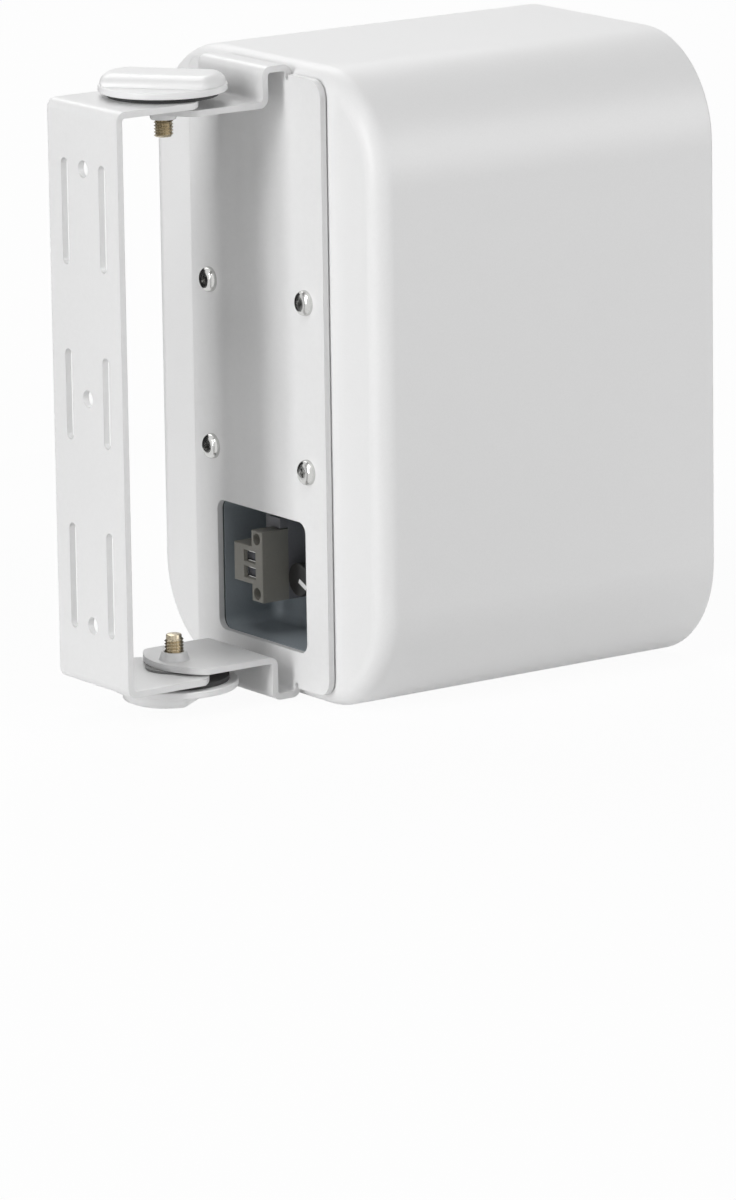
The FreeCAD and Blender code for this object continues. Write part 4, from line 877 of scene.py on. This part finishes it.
class LOUDSPEAKER_OT_tap_selector(bpy.types.Operator):
    """Model the cap of the selector knob and the filled pointer on it."""

    bl_idname = "loudspeaker.tap_selector"
    bl_label = "Selector cap"

    # Angle of the pointer below the horizontal, in degrees.
    POINTER_TURN = 25
    POINTER_WIDTH = 1.6 * MM
    POINTER_THICK = 0.5 * MM
    POINTER_EDGE = 0.12 * MM
    # The pointer is this much shorter than the knob's radius, and its middle lies this far
    # under the cap's top.
    POINTER_MARGIN = 1.0 * MM
    POINTER_SUNK = 0.2 * MM
    CAP_EDGE = 0.5 * MM
    # Depth to which the cap goes into the knob.
    CAP_SUNK = 0.3 * MM

    def execute(self, context):
        s = context.scene.loudspeaker_sizes
        low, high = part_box("tap_knob")
        middle = (low + high) / 2
        radius = (high.x - low.x) / 2
        cap_y = high.y + (s.cap_height - self.CAP_SUNK) / 2
        bpy.ops.object.select_all(action="DESELECT")
        bpy.ops.mesh.primitive_cylinder_add(vertices=48, radius=radius, depth=s.cap_height + self.CAP_SUNK,
                                            location=(middle.x, cap_y, middle.z),
                                            rotation=(math.pi / 2, 0, 0))
        cap = context.object
        settle(cap)
        edged(cap, self.CAP_EDGE, 3)
        dressed(cap, "tap_cap", "tap_selector", material_of("tap_knob"))
        bpy.ops.mesh.primitive_cube_add(size=1.0)
        pointer = context.object
        pointer.scale = (radius - self.POINTER_MARGIN, self.POINTER_THICK, self.POINTER_WIDTH)
        pointer.location = (-radius / 2, 0, 0)
        settle(pointer)
        edged(pointer, self.POINTER_EDGE, 2)
        pointer.rotation_euler = (0, -math.radians(self.POINTER_TURN), 0)
        pointer.location = (middle.x, high.y + s.cap_height - self.POINTER_SUNK, middle.z)
        dressed(pointer, "tap_pointer", "tap_selector", bpy.data.materials["Enamel"])
        return {"FINISHED"}


class LOUDSPEAKER_OT_stage(bpy.types.Operator):
    """Make the floor, the lights, the dark card and the camera."""

    bl_idname = "loudspeaker.stage"
    bl_label = "Stage"

    FLOOR_SIZE = 16.0
    # Share of the floor that shows as plain white to the camera.
    FLOOR_GLOW = 0.95
    # Place that the lamps point at.
    TARGET = Vector((0.0, 0.0, 0.1))
    # Name, place, width, height and power of each lamp.
    SOFT_BOXES = (
        ("rear_soft_box", (-0.42, 2.9, 0.9), 0.9, 2.4, 61.7),
        ("high_soft_box", (-0.9, 1.3, 2.5), 1.4, 1.4, 20.0),
        ("far_soft_box", (1.6, -0.6, 1.9), 1.6, 1.6, 26.0),
        ("side_soft_box", (-2.4, -2.0, 1.1), 2.4, 2.0, 46.6),
    )
    # The dark card.
    CARD_PLACE = (0.285, 0.1, 0.13)
    CARD_TURN = math.radians(19)
    CARD_SIZE = (0.26, 0.3, 1.0)
    CARD_SHADE = 0.01
    CARD_ROUGHNESS = 0.9
    # The camera, as fitted to the photo.
    CAMERA_PLACE = Vector((-1.94457, 1.37217, 0.5722))
    CAMERA_TURN = math.radians(54.67)
    CAMERA_PITCH = math.radians(12.97)
    CAMERA_ROLL = math.radians(-0.83)
    SENSOR = 36.0
    # Focal length for the picture's height, both in pixels of the photo's frame.
    FOCAL_SHARE = 7776 / 1200

    def execute(self, context):
        self.make_floor(context)
        self.make_lights(context)
        self.make_flag(context)
        self.make_camera(context)
        context.scene.view_settings.view_transform = "Standard"
        return {"FINISHED"}

    def seen(self, tree):
        """Socket that is 1 for rays which see the stage: straight, mirrored or through glass."""
        path = add_node(tree, "ShaderNodeLightPath")
        mirrored = add_node(tree, "ShaderNodeMath", {"operation": "MAXIMUM"},
                            {0: path.outputs["Is Glossy Ray"], 1: path.outputs["Is Transmission Ray"]})
        either = add_node(tree, "ShaderNodeMath", {"operation": "MAXIMUM"},
                          {0: path.outputs["Is Camera Ray"], 1: mirrored.outputs["Value"]})
        return either.outputs["Value"]

    def make_floor(self, context):
        """Pale floor that shows white to the camera and keeps a soft shadow."""
        bpy.ops.object.select_all(action="DESELECT")
        bpy.ops.mesh.primitive_plane_add(size=self.FLOOR_SIZE)
        floor = context.object
        floor.name = "floor"
        material, tree = bare_material("Seamless paper")
        paper = add_node(tree, "ShaderNodeBsdfDiffuse",
                         {"Color": (*context.scene.loudspeaker_colours.floor, 1)})
        glow = add_node(tree, "ShaderNodeEmission", {"Strength": 1.0})
        share = add_node(tree, "ShaderNodeMath", {"operation": "MULTIPLY", 1: self.FLOOR_GLOW},
                         {0: self.seen(tree)})
        mix = add_node(tree, "ShaderNodeMixShader", {},
                       {"Fac": share.outputs["Value"], 1: paper.outputs["BSDF"], 2: glow.outputs["Emission"]})
        add_node(tree, "ShaderNodeOutputMaterial", {}, {"Surface": mix.outputs["Shader"]})
        floor.data.materials.append(material)

    def make_lights(self, context):
        """White surround, with a tall soft box behind and wider ones above and beside."""
        world = bpy.data.worlds.new("Studio")
        context.scene.world = world
        world.use_nodes = True
        tree = world.node_tree
        tree.nodes.clear()
        white = add_node(tree, "ShaderNodeBackground", {"Color": (1, 1, 1, 1)}, {"Strength": self.seen(tree)})
        add_node(tree, "ShaderNodeOutputWorld", {}, {"Surface": white.outputs["Background"]})
        for name, place, width, height, power in self.SOFT_BOXES:
            lamp = bpy.data.lights.new(name, "AREA")
            lamp.shape = "RECTANGLE"
            lamp.size = width
            lamp.size_y = height
            lamp.energy = power
            holder = bpy.data.objects.new(name, lamp)
            context.scene.collection.objects.link(holder)
            holder.location = place
            holder.rotation_euler = (self.TARGET - Vector(place)).to_track_quat("-Z", "Y").to_euler()

    def make_flag(self, context):
        """Dark card out of sight on the far side, which the bright metal mirrors as its dark half."""
        bpy.ops.object.select_all(action="DESELECT")
        bpy.ops.mesh.primitive_plane_add(size=1.0, location=self.CARD_PLACE,
                                         rotation=(0, math.pi / 2, self.CARD_TURN))
        flag = context.object
        flag.name = "flag"
        flag.scale = self.CARD_SIZE
        material = bpy.data.materials.new("Black card")
        material.use_nodes = True
        shader = material.node_tree.nodes["Principled BSDF"]
        shader.inputs["Base Color"].default_value = (*[self.CARD_SHADE] * 3, 1)
        shader.inputs["Roughness"].default_value = self.CARD_ROUGHNESS
        flag.data.materials.append(material)
        flag.visible_camera = False

    def make_camera(self, context):
        """Long lens from behind and to the side, a little above the loudspeaker."""
        turn = self.CAMERA_TURN
        pitch = self.CAMERA_PITCH
        roll = self.CAMERA_ROLL
        ahead = Vector((math.sin(turn) * math.cos(pitch), -math.cos(turn) * math.cos(pitch),
                        -math.sin(pitch)))
        right = Vector((-math.cos(turn), -math.sin(turn), 0))
        up = right.cross(ahead)
        side = right * math.cos(roll) + up * math.sin(roll)
        top = up * math.cos(roll) - right * math.sin(roll)
        eye = bpy.data.cameras.new("camera")
        eye.sensor_width = self.SENSOR
        eye.lens = self.FOCAL_SHARE * self.SENSOR
        eye.clip_end = 100
        camera = bpy.data.objects.new("camera", eye)
        context.scene.collection.objects.link(camera)
        axes = Matrix((side, top, -ahead)).transposed().to_4x4()
        camera.matrix_world = Matrix.Translation(self.CAMERA_PLACE) @ axes
        context.scene.camera = camera


class LOUDSPEAKER_PT_panel(bpy.types.Panel):
    """Lists the operators in the order in which they run."""

    bl_idname = "LOUDSPEAKER_PT_panel"
    bl_label = "Loudspeaker"
    bl_space_type = "VIEW_3D"
    bl_region_type = "UI"
    bl_category = "Loudspeaker"

    def draw(self, context):
        for operator in OPERATORS:
            self.layout.operator(operator.bl_idname)


OPERATORS = (LOUDSPEAKER_OT_finishes, LOUDSPEAKER_OT_pivot_bolts, LOUDSPEAKER_OT_hand_knobs,
             LOUDSPEAKER_OT_shade_washers, LOUDSPEAKER_OT_plate_screws, LOUDSPEAKER_OT_grille,
             LOUDSPEAKER_OT_cloth, LOUDSPEAKER_OT_wadding, LOUDSPEAKER_OT_clamp_jaws,
             LOUDSPEAKER_OT_tap_selector, LOUDSPEAKER_OT_stage)
CLASSES = (LoudspeakerSizes, LoudspeakerColours, *OPERATORS, LOUDSPEAKER_PT_panel)


def register():
    for item in CLASSES:
        bpy.utils.register_class(item)
    bpy.types.Scene.loudspeaker_sizes = PointerProperty(type=LoudspeakerSizes)
    bpy.types.Scene.loudspeaker_colours = PointerProperty(type=LoudspeakerColours)


def unregister():
    del bpy.types.Scene.loudspeaker_colours
    del bpy.types.Scene.loudspeaker_sizes
    for item in reversed(CLASSES):
        bpy.utils.unregister_class(item)


def main():
    register()
    bpy.ops.loudspeaker.finishes()
    bpy.ops.loudspeaker.pivot_bolts()
    bpy.ops.loudspeaker.hand_knobs()
    bpy.ops.loudspeaker.knob_washers()
    bpy.ops.loudspeaker.plate_screws()
    bpy.ops.loudspeaker.grille()
    bpy.ops.loudspeaker.cloth()
    bpy.ops.loudspeaker.wadding()
    bpy.ops.loudspeaker.clamp_jaws()
    bpy.ops.loudspeaker.tap_selector()
    bpy.ops.loudspeaker.stage()


if __name__ == "__main__":
    main()
